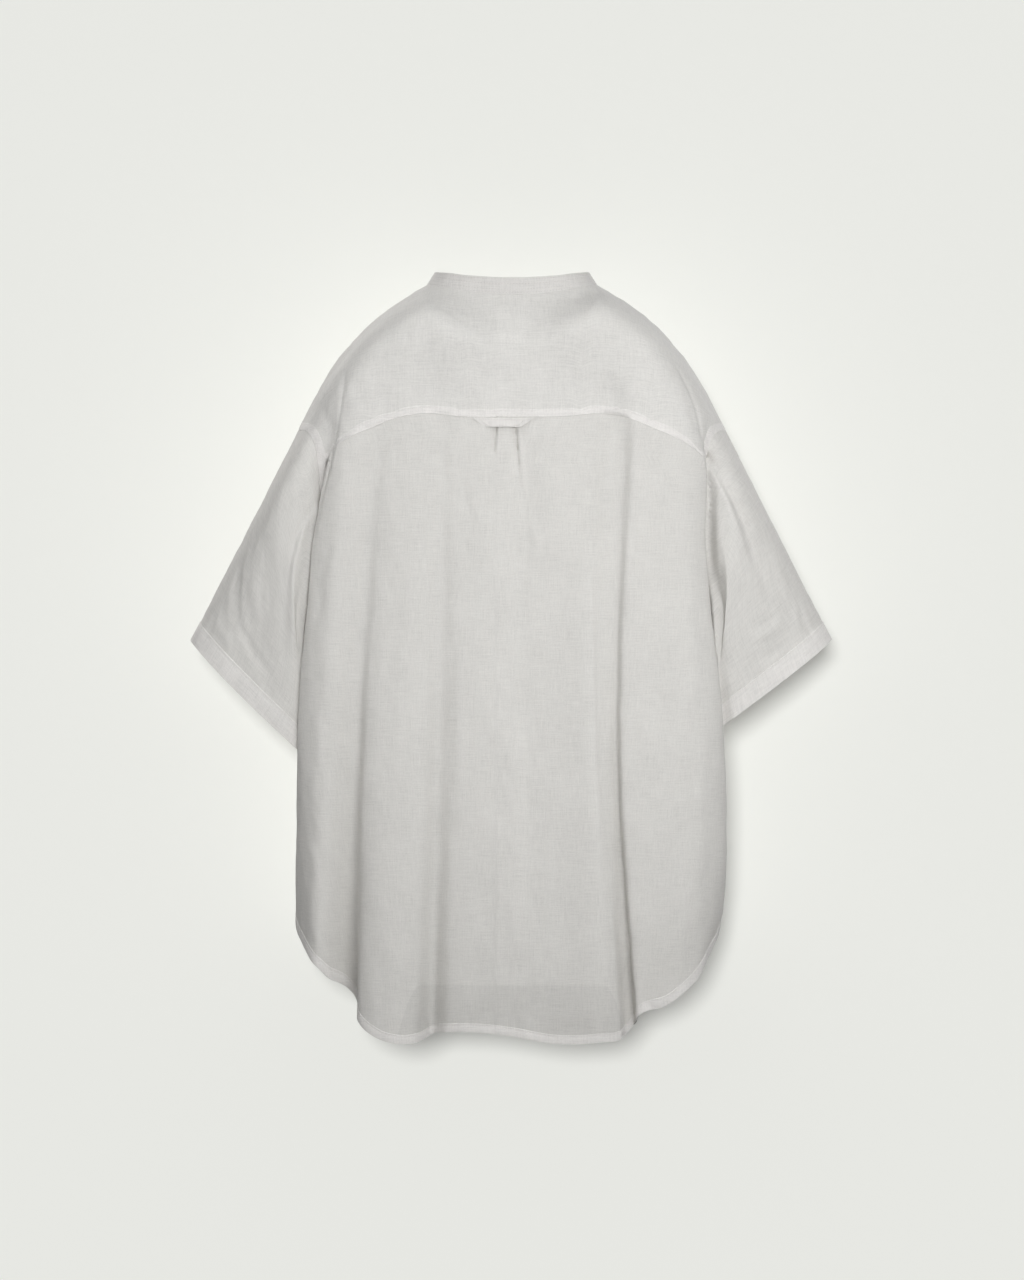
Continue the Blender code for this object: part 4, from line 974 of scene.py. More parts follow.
def piece(name, mesh, material, angle=50):
    """A named object that rides with the shirt. Its edges look sharp from that angle on, in degrees."""
    mesh.update()
    mesh.materials.append(material)
    mesh.shade_smooth()
    mesh.set_sharp_from_angle(angle=math.radians(angle))
    ob = bpy.data.objects.new(name, mesh)
    bpy.context.scene.collection.objects.link(ob)
    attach(ob, "root")
    return ob


CLOSES = 12.0  # a piece whose last row ends this near its start goes round
PIECES_APART = 300.0  # so that no two pieces show the same stretch of yarn


def lie(grid, number, anchor):
    """Where each point lies on the flat cloth: across it, down it from its row anchor, and apart from others.

    Every row is laid out from its middle, or from its first column where the rows go round.
    """
    round_it = np.linalg.norm(grid[-1, 0] - grid[-1, -1]) < CLOSES
    across = np.array([lengths(row) if round_it else from_middle(row) for row in grid])
    down = run_down(grid)
    start = 0 if round_it else grid[anchor, :, 2]
    return np.stack([across, down - down[anchor] - start, np.full_like(down, PIECES_APART * number)], axis=-1)


SLANT_OVER = 10  # columns to either side, over which an edge's slant against its columns is evened out
LEAST_SLANT = 0.4  # the sine of the smallest angle that is taken between them


def inset(lines, distance):
    """For each column of lines, where it has come this far in from its first row: the row, as a fraction."""
    s = run_down(lines)
    edge = unit(np.gradient(lines[0], axis=0))
    way = unit(lines[2] - lines[0])
    slant = np.maximum(np.linalg.norm(np.cross(edge, way), axis=1), LEAST_SLANT)
    slant = np.pad(slant, SLANT_OVER, mode="edge")
    slant = np.median(np.lib.stride_tricks.sliding_window_view(slant, 2 * SLANT_OVER + 1), axis=1)
    return np.array([np.interp(distance / slant[j], s[:, j], np.arange(len(s))) for j in range(len(slant))])


def read_rows(values, rows):
    """values at a fractional row for each column."""
    low = np.clip(np.floor(rows).astype(int), 0, len(values) - 2)
    part = (rows - low)[:, None]
    column = np.arange(values.shape[1])
    return values[low, column] * (1 - part) + values[low + 1, column] * part


class Edge:
    """An edge or seam of the cloth: rows of points running in from it, their outward directions and lie."""

    def __init__(self, points, out, lay):
        self.points, self.out, self.lay = points, out, lay

    def at(self, distance, height):
        """The line at a distance in from the edge and a height over the cloth: points, directions and lie."""
        rows = inset(self.points, distance)
        out = unit(read_rows(self.out, rows))
        return read_rows(self.points, rows) + out * height, out, read_rows(self.lay, rows)


BAND_BELOW = 0.04  # from the cloth to the underside of a band on it


def band(name, edge, profile, material):
    """A folded or felled strip along an edge, with the given distances and heights."""
    outer, _, lay = (np.array(rows) for rows in zip(*(edge.at(*place) for place in profile)))
    inner = np.array([edge.at(distance, BAND_BELOW)[0] for distance, _ in profile])
    quads = cells(outer)
    row, column = len(outer) // 2, outer.shape[1] // 2
    middle, below, beside = outer[row, column], outer[row + 1, column], outer[row, column + 1]
    if np.dot(np.cross(below - middle, beside - middle), middle - inner[row, column]) < 0:
        quads = [q[::-1] for q in quads]
    return shell(name, outer, inner, quads, material, lay)


def merged(name, solids, material, angle=40):
    """Several closed shapes, each points and faces, as one piece."""
    points, faces = [], []
    for some_points, some_faces in solids:
        faces += [tuple(len(points) + v for v in face) for face in some_faces]
        points += list(some_points)
    mesh = bpy.data.meshes.new(name)
    mesh.from_pydata((np.array(points) * MM).tolist(), [], faces)
    put_attribute(mesh, "lay", np.array(points) * MM)
    return piece(name, mesh, material, angle)


STITCH = 2.3  # the length of thread that shows
STITCH_PITCH = 3.1
THREAD = 0.24  # half its thickness
WAY_REACH = 0.5  # a stitch follows its line's direction over this much to each side of its middle
STITCH_FACES = ((0, 2, 1), (0, 3, 2), (0, 4, 3), (0, 1, 4), (5, 1, 2), (5, 2, 3), (5, 3, 4), (5, 4, 1))


def stitches(name, lines, material, pitch=STITCH_PITCH, length=STITCH, thread=THREAD):
    """Rows of stitches: each line is its points and their outward directions."""
    points, faces = [], []
    for line, out in lines:
        s = lengths(line)
        centres = np.arange(pitch / 2, s[-1], pitch)
        at = along(line, centres)
        normal = np.stack([np.interp(centres, s, out[:, k]) for k in range(3)], axis=-1)
        ahead = along(line, np.minimum(centres + WAY_REACH, s[-1]))
        way, normal = unit(ahead - along(line, np.maximum(centres - WAY_REACH, 0))), unit(normal)
        side = np.cross(normal, way)
        for c, w, n, b in zip(at, way * length / 2, normal * thread, side * thread):
            faces += [tuple(len(points) + k for k in f) for f in STITCH_FACES]
            points += [c - w, c + b, c + n, c - b, c - n, c + w]
    return merged(name, [(points, faces)], material, angle=80)


# ---------------------------------------------------------------- materials


class Nodes:
    """A material's node tree, with short calls to add to it."""

    def __init__(self, name, base, roughness, sheen=0.0):
        self.material = bpy.data.materials.new(name)
        self.material.use_nodes = True
        self.tree = self.material.node_tree
        self.shader = self.tree.nodes["Principled BSDF"]
        self.set("Base Color", (*base, 1))
        self.set("Roughness", roughness)
        self.set("Sheen Weight", sheen)

    def set(self, socket, value):
        self.shader.inputs[socket].default_value = value

    def add(self, kind, inputs=(), **settings):
        """A node with its inputs linked or set, by place or name."""
        node = self.tree.nodes.new("ShaderNode" + kind)
        for key, value in settings.items():
            setattr(node, key, value)
        for key, value in dict(inputs).items():
            socket = node.inputs[key]
            if isinstance(value, bpy.types.NodeSocket):
                self.tree.links.new(value, socket)
            else:
                socket.default_value = value
        return node

    def link(self, value, socket):
        self.tree.links.new(value, self.shader.inputs[socket])

    def mixed_with(self, share, other):
        """Shows the shader and, for a share of it, another one."""
        both = self.add("MixShader", {0: share, 1: self.shader.outputs[0], 2: other.outputs[0]})
        self.tree.links.new(both.outputs[0], self.tree.nodes["Material Output"].inputs["Surface"])

    def math(self, operation, a, b=0.0, c=0.0):
        return self.add("Math", {0: a, 1: b, 2: c}, operation=operation).outputs[0]

    def noise(self, scale, detail):
        """Noise on the flat cloth, with so many cells a metre across, down and between pieces."""
        place = self.add("Attribute", attribute_name="lay").outputs["Vector"]
        size = self.add("VectorMath", {0: place, 1: scale}, operation="MULTIPLY").outputs[0]
        return self.add("TexNoise", {"Vector": size, "Scale": 1.0, "Detail": detail}).outputs[0]

    def shades(self, value, stops):
        """Colours along a value."""
        node = self.add("ValToRGB", {0: value})
        ramp = node.color_ramp
        while len(ramp.elements) < len(stops):
            ramp.elements.new(0.5)
        for element, (at, colour) in zip(ramp.elements, stops):
            element.position, element.color = at, (*colour, 1)
        return node.outputs[0]


def tint(colour, by):
    """The same colour, darker or lighter."""
    return tuple(c * by for c in colour)


# Linen: its colour, the colour of two or more layers of it, and of the light that comes through it
LINEN_SINGLE = (0.735, 0.722, 0.690)
# Painted shade: the yoke's linen is a little darker than the back's, as its upward face takes more light
LINEN_YOKE_PAINTED_SHADE = (0.722, 0.709, 0.679)
LINEN_FOLDED = (0.722, 0.704, 0.676)
LINEN_BAND = (0.728, 0.708, 0.683)
# Painted shade: the collar's linen is darker than the rest, for the shade on the leaning collar band
LINEN_COLLAR_PAINTED_SHADE = (0.640, 0.624, 0.600)
LINEN_THREAD = (0.700, 0.682, 0.652)
LINEN_THROUGH = (0.66, 0.60, 0.51)
# Painted shade: the collar's stitches are darker than the other thread, for the shade along their lines
COLLAR_THREAD_PAINTED_SHADE = (0.50, 0.48, 0.45)
LABEL_COLOUR = (0.74, 0.735, 0.72)
BUTTON_COLOUR = (0.70, 0.67, 0.60)
THREADS = 1800.0  # threads a metre
YARN = 55.0  # thick and thin places a metre
SLUBS = (THREADS * 0.36, YARN * 0.8)  # the same for the thicker yarns among them

# The linen's grain: cells a metre across, down and between pieces, their detail, and their share of the shade
GRAIN = (
    ((THREADS, YARN, 7.0), 1.5, 0.24),  # warp
    ((YARN, THREADS, 9.0), 1.5, 0.26),  # weft
    ((SLUBS[0], SLUBS[1], 5.0), 1.0, 0.09),  # thicker yarns of the warp
    ((SLUBS[1], SLUBS[0], 3.0), 1.0, 0.11),  # and of the weft
    ((520.0, 520.0, 11.0), 2.0, 0.18),  # loose fibres
    ((26.0, 17.0, 3.0), 3.0, 0.12),  # clouds
)
GRAIN_SHADES = ((0.34, 0.83), (0.50, 1.0), (0.66, 1.13))  # from the grain's value to the shade of the colour
WEAVE_HEIGHT = 0.00035  # metres
# The painted shade where no cloth lies behind is blended in across the edge of the cloth behind
BEHIND_EDGE = 0.0012  # metres to each side, over which the edge of the cloth behind it shows as a soft line


def linen(name, colour, through=0.16, behind=(), depth=1.0):
    """Plain-weave linen with thick and thin yarns.

    behind lists attributes that are positive where more cloth lies behind it, each with the painted shade
    that darkens the colour where none does.
    """
    nodes = Nodes(name, colour, 0.82, sheen=0.12)
    nodes.set("Sheen Roughness", 0.45)
    nodes.set("Specular IOR Level", 0.22)
    values = [nodes.noise(scale, detail) for scale, detail, _ in GRAIN]
    mixed = nodes.math("MULTIPLY", values[0], GRAIN[0][2])
    for value, (_, _, share) in zip(values[1:], GRAIN[1:]):
        mixed = nodes.math("MULTIPLY_ADD", value, share, mixed)
    shade = nodes.shades(mixed, [(at, tint(colour, by)) for at, by in GRAIN_SHADES])
    # Painted shade: the colour is scaled darker where no cloth lies behind, for the light a layer behind
    # gives back
    for attribute, bare_painted_shade in behind:
        far = nodes.add("Attribute", attribute_name=attribute).outputs["Fac"]
        stops = {0: far, 1: -BEHIND_EDGE, 2: BEHIND_EDGE, 3: bare_painted_shade, 4: 1.0}
        step = nodes.add("MapRange", stops, interpolation_type="SMOOTHSTEP")
        shade = nodes.add("VectorMath", {0: shade, "Scale": step.outputs[0]}, operation="SCALE").outputs[0]
    nodes.link(shade, "Base Color")
    weave = nodes.math("ADD", nodes.math("MULTIPLY", values[0], 0.5), nodes.math("MULTIPLY", values[1], 0.5))
    bump = nodes.add("Bump", {"Height": weave, "Distance": WEAVE_HEIGHT * depth, "Strength": 0.55})
    nodes.link(bump.outputs[0], "Normal")
    nodes.mixed_with(through, nodes.add("BsdfTranslucent", {"Color": (*LINEN_THROUGH, 1)}))
    return nodes.material


CLOUDS = (0.3, 0.7)  # the values of the noise that are fully dark and fully light


def mottled(name, colour, roughness, scale, dark, light, detail=1.0, sheen=0.0):
    """A material that wanders between two colours, in so many cells a metre, and the noise it follows."""
    nodes = Nodes(name, colour, roughness, sheen)
    clouds = nodes.noise((scale,) * 3, detail)
    nodes.link(nodes.shades(clouds, ((CLOUDS[0], dark), (CLOUDS[1], light))), "Base Color")
    return nodes, clouds


def thread_material(name, colour):
    """Matt cotton thread, a little uneven."""
    return mottled(name, colour, 0.7, 900.0, tint(colour, 0.86), tint(colour, 1.1), sheen=0.2)[0].material


def button_material():
    """Off-white shell-like plastic: faint clouds under a half gloss."""
    shades = tint(BUTTON_COLOUR, 0.88), tint(BUTTON_COLOUR, 1.12)
    nodes, clouds = mottled("button_shell", BUTTON_COLOUR, 0.28, 170.0, *shades, detail=3.0)
    rough = nodes.add("MapRange", {0: clouds, 1: CLOUDS[0], 2: CLOUDS[1], 3: 0.22, 4: 0.36})
    nodes.link(rough.outputs[0], "Roughness")
    return nodes.material


def painted_hole_shade_material():
    """The painted shade inside a button's holes, as dark discs."""
    shades = (0.10, 0.08, 0.06), (0.22, 0.18, 0.14)
    return mottled("button_hole_painted_shade", (0.16, 0.13, 0.10), 0.9, 700.0, *shades)[0].material


SINGLE = linen("linen_single", LINEN_SINGLE)
# The back and the yoke carry painted shade: darker where no front, placket or label lies behind them
BACK_LINEN_PAINTED_SHADE = linen("linen_back_painted_shade", LINEN_SINGLE, behind=(("painted_shade_front_behind", 0.93), ("painted_shade_placket_behind", 0.98)))
YOKE_LINEN_PAINTED_SHADE = linen("linen_yoke_painted_shade", LINEN_YOKE_PAINTED_SHADE, through=0.10, behind=(("painted_shade_label_behind", 0.97),))
FOLDED = linen("linen_folded", LINEN_FOLDED, through=0.05)
COLLAR_LINEN_PAINTED_SHADE = linen("linen_collar_painted_shade", LINEN_COLLAR_PAINTED_SHADE, through=0.04)
FELLED = linen("linen_felled", LINEN_BAND, through=0.05)
LABEL = linen("label_weave", LABEL_COLOUR, through=0.05, depth=0.5)
THREAD_COLLAR_PAINTED_SHADE = thread_material("collar_thread_painted_shade", COLLAR_THREAD_PAINTED_SHADE)
THREAD_WHITE = thread_material("sewing_thread", LINEN_THREAD)
BUTTON = button_material()
GAP = painted_hole_shade_material()


# ---------------------------------------------------------------- the shirt

YOKE_EVENED = 80  # rounds in which the yoke's back rows are evened out
YOKE_EVENED_FROM = 30.0  # they are evened fully this far from the ridge and the neck, and less nearer to them
LAID_UP = ("yoke", "sleeve_left", "sleeve_right", "collar_band")  # pieces laid out from their last row

grids, quads, neck_columns = outer_faces()


def smoothed(grid, rounds):
    """The yoke's grid with its back rows evened out along themselves, less near the neck and ridge."""
    below_neck = np.linalg.norm(grid - grid[YOKE_FRONT_ROWS], axis=-1, keepdims=True)
    share = ease(below_neck / YOKE_EVENED_FROM)[YOKE_FRONT_ROWS:-1, 1:-1] / 2
    grid = grid.copy()
    back = grid[YOKE_FRONT_ROWS:-1]
    for _ in range(rounds):
        back[:, 1:-1] += share * ((back[:, :-2] + back[:, 2:]) / 2 - back[:, 1:-1])
    return grid


def pressed(grids, quads):
    """The grids with the creases and rumples in them, and their outward directions."""
    offsets = seam_offsets(grids, quads)
    moved = {}
    for name, grid in grids.items():
        lift = relief(grid.reshape(-1, 3)).reshape(grid.shape[:2])
        calm = COLLAR_CALM if name == "collar_band" else 1.0
        moved[name] = grid + unit(offsets[name]) * (lift * calm)[..., None]
    return moved, seam_offsets(moved, quads)


grids["yoke"] = smoothed(grids["yoke"], YOKE_EVENED)
grids, offsets = pressed(grids, quads)
outs = {name: unit(offset) for name, offset in offsets.items()}
lays = {name: lie(grids[name], number, -1 if name in LAID_UP else 0) for number, name in enumerate(grids)}

# On the flanks the front's hem gets no painted shade: this far out, over this width, it is taken this much
# lower
FLANK_FROM, FLANK_OVER, FLANK_LOWER = 95.0, 40.0, 90.0
NO_LABEL = -50.0  # how far outside the label's outline the front of the yoke is taken to lie

# Painted shade for what shows faintly through the back, the fronts above their hem and the placket, and
# through the yoke, the label: the cloth is painted darker where none of them lies behind it
x, _, z = np.moveaxis(grids["back"], -1, 0)
front_hem = np.vstack([grids["front_right"][-1], grids["front_left"][-1]])
front_hem = front_hem[np.argsort(front_hem[:, 0])]
over_hem = z - np.interp(x, front_hem[:, 0], front_hem[:, 2])
over_hem = over_hem + FLANK_LOWER * ease((np.abs(x) - FLANK_FROM) / FLANK_OVER)
on_placket = np.minimum(PLACKET_HALF - np.abs(x), over_hem)
x, y, z = np.moveaxis(grids["yoke"], -1, 0)
in_label = np.minimum(LABEL_HALF - np.abs(x), LABEL_TOP_Z - z)
in_label = np.where(y > 0, np.minimum(in_label, z - LABEL_LOW_Z), NO_LABEL)
shows_through = {
    "back": {"painted_shade_front_behind": over_hem, "painted_shade_placket_behind": on_placket},
    "yoke": {"painted_shade_label_behind": in_label},
}

cloth_material = {"back": BACK_LINEN_PAINTED_SHADE, "yoke": YOKE_LINEN_PAINTED_SHADE, "collar_band": COLLAR_LINEN_PAINTED_SHADE}
cloth = {}
for name, grid in grids.items():
    outer = drawn_in(grid, quads[name], SEAM_LINE / 2)
    inner = outer - offsets[name] * (COLLAR_CLOTH_WALL if name == "collar_band" else CLOTH_WALL)
    material, shown = cloth_material.get(name, SINGLE), shows_through.get(name)
    cloth[name] = shell("cloth_" + name, outer, inner, quads[name], material, lays[name], shown)
    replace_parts(cloth[name], name)


# ---------------------------------------------------------------- hems and seams

# Bands: distances in from the edge, each with the height of the folded cloth there. The rows of stitches lie
# in the low places.
HEM_BAND = (
    (-0.35, 0.10), (0.0, 0.62), (1.0, 0.66), (3.6, 0.60), (6.4, 0.50),
    (7.3, 0.28), (8.3, 0.48), (9.0, 0.42), (9.25, 0.06),
)
CUFF_BAND = (
    (-0.35, 0.10), (0.0, 0.70), (1.2, 0.74), (9.0, 0.62), (16.6, 0.56),
    (18.0, 0.30), (19.2, 0.54), (20.2, 0.46), (20.5, 0.06),
)
SEAM_BAND = (
    (0.0, 0.06), (0.2, 0.30), (1.0, 0.42), (1.8, 0.24), (2.7, 0.44),
    (5.6, 0.42), (6.8, 0.22), (7.8, 0.38), (8.7, 0.30), (8.95, 0.06),
)
HEM_STITCHES = (7.3,)
CUFF_STITCHES = (18.0,)
SEAM_STITCHES = (1.8, 6.8)
STITCH_SUNK = 0.22  # how high the stitches' middle lies over the cloth's face

ALL, UP = slice(None), slice(None, None, -1)
UPPER_YOKE = slice(0, YOKE_FRONT_ROWS + 1)  # its rows in front of the ridge
UPPER_BACK, LOWER_BACK = slice(0, BACK_UPPER_ROWS + 1), slice(BACK_UPPER_ROWS, None)
UPPER_FRONT = slice(FRONT_ARCH_ROWS + FRONT_UPPER_ROWS, None, -1)  # from the underarm up
BAND_COLUMNS = 8 * ACROSS  # columns that a band along a side may need
FIRST, LAST = slice(0, BAND_COLUMNS), slice(None, -BAND_COLUMNS, -1)

bands, sewing = {}, {}


def edge_of(name, rows, columns):
    """The part of a piece's cloth that runs in from an edge: rows or columns, the edge first."""
    return Edge(*(values[name][rows, columns] for values in (grids, outs, lays)))


def turned(edge):
    """The same edge for cloth whose columns run in from it."""
    return Edge(*(np.swapaxes(values, 0, 1) for values in (edge.points, edge.out, edge.lay)))


def joined(parts):
    """Several pieces' edges, one after another, as one."""
    rows = min(len(part.points) for part in parts)
    values = zip(*((part.points[:rows], part.out[:rows], part.lay[:rows]) for part in parts))
    return Edge(*(np.concatenate(value, axis=1) for value in values))


def finish_edge(name, edge, profile, stitch_rows, material):
    """A band along an edge, with its rows of stitches."""
    bands[name] = band(name, edge, profile, material)
    lines = [edge.at(distance, STITCH_SUNK)[:2] for distance in stitch_rows]
    sewing[name] = stitches("stitches_" + name, lines, THREAD_WHITE)


for name in ("back", "front_left", "front_right", "sleeve_left", "sleeve_right"):
    profile, rows = (CUFF_BAND, CUFF_STITCHES) if "sleeve" in name else (HEM_BAND, HEM_STITCHES)
    finish_edge("hem_" + name, edge_of(name, UP, ALL), profile, rows, FOLDED)

left_columns, right_columns = slice(0, neck_columns[0] + 1), slice(neck_columns[1], None)
armholes = {
    side: joined(
        [
            turned(edge_of("front_" + side, UPPER_FRONT, on_front)),
            turned(edge_of("yoke", ALL, on_back)),
            turned(edge_of("back", UPPER_BACK, on_back)),
        ]
    )
    for side, on_front, on_back in (("left", LAST, FIRST), ("right", FIRST, LAST))
}
seams = {
    "yoke_back": edge_of("yoke", UP, ALL),
    "yoke_left": edge_of("yoke", UPPER_YOKE, left_columns),
    "yoke_right": edge_of("yoke", UPPER_YOKE, right_columns),
    "armhole_left": armholes["left"],
    "armhole_right": armholes["right"],
    "side_left": turned(edge_of("back", LOWER_BACK, FIRST)),
    "side_right": turned(edge_of("back", LOWER_BACK, LAST)),
}
for name, edge in seams.items():
    finish_edge("seam_" + name, edge, SEAM_BAND, SEAM_STITCHES, FELLED)


# ---------------------------------------------------------------- collar and placket

COLLAR_STITCHES = (0.10, 0.30, 0.62, 0.88)  # rows of stitches, as shares of the band's height
COLLAR_STITCH_RISE = 0.02
COLLAR_STITCH_ENDS = 2  # columns at each end of the band that they leave free
PLACKET_UNDER = 0.25  # from the front's cloth to the strip that is folded on it
PLACKET_CLOTH = 0.9
PLACKET_STITCH = 2.6  # how far in from the strip's edges its stitches are
PLACKET_STITCH_RISE = 0.05

collar, collar_out = grids["collar_band"], outs["collar_band"]


def collar_line(share):
    """A row of stitches round the collar: its points and their outward directions."""
    rows = np.full(collar.shape[1], (1 - share) * (len(collar) - 1))
    out = unit(read_rows(collar_out, rows))
    inside = slice(COLLAR_STITCH_ENDS, -COLLAR_STITCH_ENDS)
    return (read_rows(collar, rows) + out * COLLAR_STITCH_RISE)[inside], out[inside]


sewing["collar"] = stitches("stitches_collar", [collar_line(at) for at in COLLAR_STITCHES], THREAD_COLLAR_PAINTED_SHADE)

# The placket is a folded strip on the left front's first columns
strip, strip_back = slice(0, PLACKET_COLUMNS + 1), slice(PLACKET_COLUMNS, None, -1)
front, front_out, front_lay = (values["front_left"][:, strip] for values in (grids, outs, lays))
placket_quads = cells(front)
placket_inner = drawn_in(front, placket_quads, SEAM_LINE / 2) + front_out * PLACKET_UNDER
placket_outer = placket_inner + front_out * PLACKET_CLOTH
placket = shell("cloth_placket", placket_outer, placket_inner, placket_quads, FOLDED, front_lay)
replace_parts(placket, "placket")
placket_edges = [turned(edge_of("front_left", ALL, columns)) for columns in (strip, strip_back)]
placket_rise = PLACKET_UNDER + PLACKET_CLOTH + PLACKET_STITCH_RISE
placket_lines = [edge.at(PLACKET_STITCH, placket_rise)[:2] for edge in placket_edges]
sewing["placket"] = stitches("stitches_placket", placket_lines, THREAD_WHITE)


# ---------------------------------------------------------------- buttons


def circle(side, up, sides):
    """Directions all round, from side towards up."""
    turn = 2 * math.pi * np.arange(sides)[:, None] / sides
    return side * np.cos(turn) + up * np.sin(turn)


def ring_edges(ring, sides):
    """The edges of one of the rings of points that a round shape is made of."""
    return [(ring * sides + k, ring * sides + (k + 1) % sides) for k in range(sides)]


def ring_faces(rings, sides):
    """The quads between the rings."""
    return [(a, a + sides, b + sides, b) for ring in range(rings - 1) for a, b in ring_edges(ring, sides)]


def across_and_up(normal):
    """The directions across and up a face with that normal."""
    side = unit(np.cross(normal, (0, 0, 1)))
    return side, np.cross(side, normal)


def lathe(profile, sides, centre, normal):
    """A turned solid: profile is (radius, height) from the middle of its back to the middle of its face."""
    around = circle(*across_and_up(normal), sides)
    points = [centre + normal * height + radius * way for radius, height in profile[1:-1] for way in around]
    rings = len(profile) - 2
    back, face = len(points), len(points) + 1
    faces = ring_faces(rings, sides)
    faces += [(a, b, back) for a, b in ring_edges(0, sides)]
    faces += [(b, a, face) for a, b in ring_edges(rings - 1, sides)]
    return points + [centre + normal * profile[0][1], centre + normal * profile[-1][1]], faces


TUBE_UP = (0.31, 0.24, 0.92)  # a direction that no thread runs along


def tube(line, radius, sides=8):
    """A closed tube along a line of points."""
    way = unit(np.gradient(line, axis=0))
    side = unit(np.cross(way, TUBE_UP))
    rings = [p + radius * circle(b, n, sides) for p, b, n in zip(line, side, np.cross(side, way))]
    points = [*np.concatenate(rings)]
    ends = [tuple(range(sides)), tuple(reversed(range(len(points) - sides, len(points))))]
    return points, ring_faces(len(rings), sides) + ends


# A button: (radius, height) over its back; a rounded rim, and a dished middle
BUTTON_TURNED = (
    (0.0, 0.0), (3.6, 0.0), (5.0, 0.22), (5.5, 0.70), (5.6, 1.15), (5.45, 1.70), (5.0, 2.10), (4.5, 2.20),
    (4.05, 2.05), (3.7, 1.62), (3.3, 1.40), (1.6, 1.34), (0.0, 1.34),
)
BUTTON_SIDES = 40
BUTTON_FACE = BUTTON_TURNED[-1][1]
HOLES = 4
HOLE_AT = 1.25  # from the button's middle
HOLE_RADIUS = 0.62
# Painted shade: each hole holds a dark disc in place of the shade inside it
HOLE_DISC = (0.20, 0.24)  # a hole is a dark disc: how deep it starts, and its thickness
HOLE_SIDES, HOLE_TAPER = 14, 0.96
THREAD_PAIRS = ((0, 2), (1, 3))  # the holes between which the threads cross
THREAD_APART = 0.16  # each of two threads is this far from their middle
THREAD_RADIUS, THREAD_POINTS = 0.17, 9
THREAD_RISE, THREAD_BEND = 0.42, 0.6
BUTTONHOLE_LONG, BUTTONHOLE_WIDE = 7.6, 0.9  # half its length and width
BUTTONHOLE_POINTS, BUTTONHOLE_SIDES = 40, 6
BUTTONHOLE_THREAD = 0.36
BUTTONHOLE_UNDER = 0.95  # from the button's back to its buttonhole,
COLLAR_HOLE_UNDER = 0.6  # and on the collar, where the buttonhole lies level


def dress_button(name, centre, normal, upright=True):
    """A sewn-on four-hole button, its crossed threads, and the buttonhole behind it."""
    normal = unit(normal)
    turned_body = lathe(BUTTON_TURNED, BUTTON_SIDES, centre, normal)
    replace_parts(merged("turned_" + name, [turned_body], BUTTON, angle=35), name)
    side, up = across_and_up(normal)
    diagonals = unit(side + up), unit(up - side)
    holes = centre + normal * BUTTON_FACE + HOLE_AT * circle(*diagonals, HOLES)
    deep, thick = HOLE_DISC
    disc = ((0, 0), (HOLE_RADIUS, 0), (HOLE_RADIUS * HOLE_TAPER, thick), (0, thick))
    discs = [lathe(disc, HOLE_SIDES, hole - normal * deep, normal) for hole in holes]
    # the holes' painted shade
    merged("painted_hole_shade_" + name, discs, GAP)
    t = np.linspace(0, 1, THREAD_POINTS)[:, None]
    rise = normal * THREAD_RISE * np.sin(math.pi * t) ** THREAD_BEND
    threads = []
    for a, b in THREAD_PAIRS:
        for shift in (-THREAD_APART, THREAD_APART):
            across = unit(np.cross(normal, holes[b] - holes[a])) * shift
            threads.append(tube(holes[a] * (1 - t) + holes[b] * t + across + rise, THREAD_RADIUS))
    merged("thread_" + name, threads, THREAD_WHITE)
    long, wide = (up, side) if upright else (side, up)
    turn = np.linspace(0, 2 * math.pi, BUTTONHOLE_POINTS, endpoint=False)[:, None]
    bulge = np.sign(np.sin(turn)) * np.sqrt(np.abs(np.sin(turn)))
    slot = centre - normal * (BUTTONHOLE_UNDER if upright else COLLAR_HOLE_UNDER)
    slot = slot + long * BUTTONHOLE_LONG * np.cos(turn) + wide * BUTTONHOLE_WIDE * bulge
    pairs = zip(slot, np.roll(slot, -1, axis=0))
    edging = [tube(pair, BUTTONHOLE_THREAD, BUTTONHOLE_SIDES) for pair in pairs]
    merged("buttonhole_" + name, edging, THREAD_WHITE)


middle = PLACKET_COLUMNS // 2
line, line_out = grids["front_left"][:, middle], outs["front_left"][:, middle]
for k in range(BUTTON_COUNT):
    z = BUTTON_TOP_Z - k * BUTTON_PITCH
    at, normal = at_height(z, line[:, 2], line), at_height(z, line[:, 2], line_out)
    dress_button(f"button_{k + 1}", at + unit(normal) * (LAY_GAP + PLACKET_WALL + BUTTON_LIFT), normal)
at, normal = (values[COLLAR_ROWS // 2, middle - ACROSS] for values in (collar, collar_out))
dress_button("button_collar", at + unit(normal) * BUTTON_LIFT, normal, upright=False)


# ---------------------------------------------------------------- locker loop

LOOP_COLUMNS = 49
LOOP_NEAR_ROWS = 30  # rows of the back among which it lies
LOOP_EDGE = LOOP_WALL - 0.26  # its thickness at the edges
# Distances down the loop, each with the height of its face there over the edges
LOOP_FACE = ((0.0, 0.0), (0.5, 0.22), (1.6, 0.12), (4.8, 0.26), (8.0, 0.12), (9.1, 0.22), (9.6, 0.0))
LOOP_STITCHES = (0.17, 0.83)  # shares of the way down it
LOOP_STITCH_RISE = 0.02
LOOP_STITCH_ENDS = 3  # columns that they leave free
BARTACKS = (6, LOOP_COLUMNS - 7)  # its columns with a bartack
BARTACK_TOP, BARTACK_TALL = 0.16, 0.68  # shares of the way down it
BARTACK_STITCHES = 7
BARTACK_RISE = 0.08

loop_ends = np.array((LOOP_TOP[0] - LOOP_INSET, LOOP_TOP[1] + LOOP_INSET))
loop_back = surface_y(grids["back"][:LOOP_NEAR_ROWS], loop_ends, np.full(2, LOOP_TOP_Z))


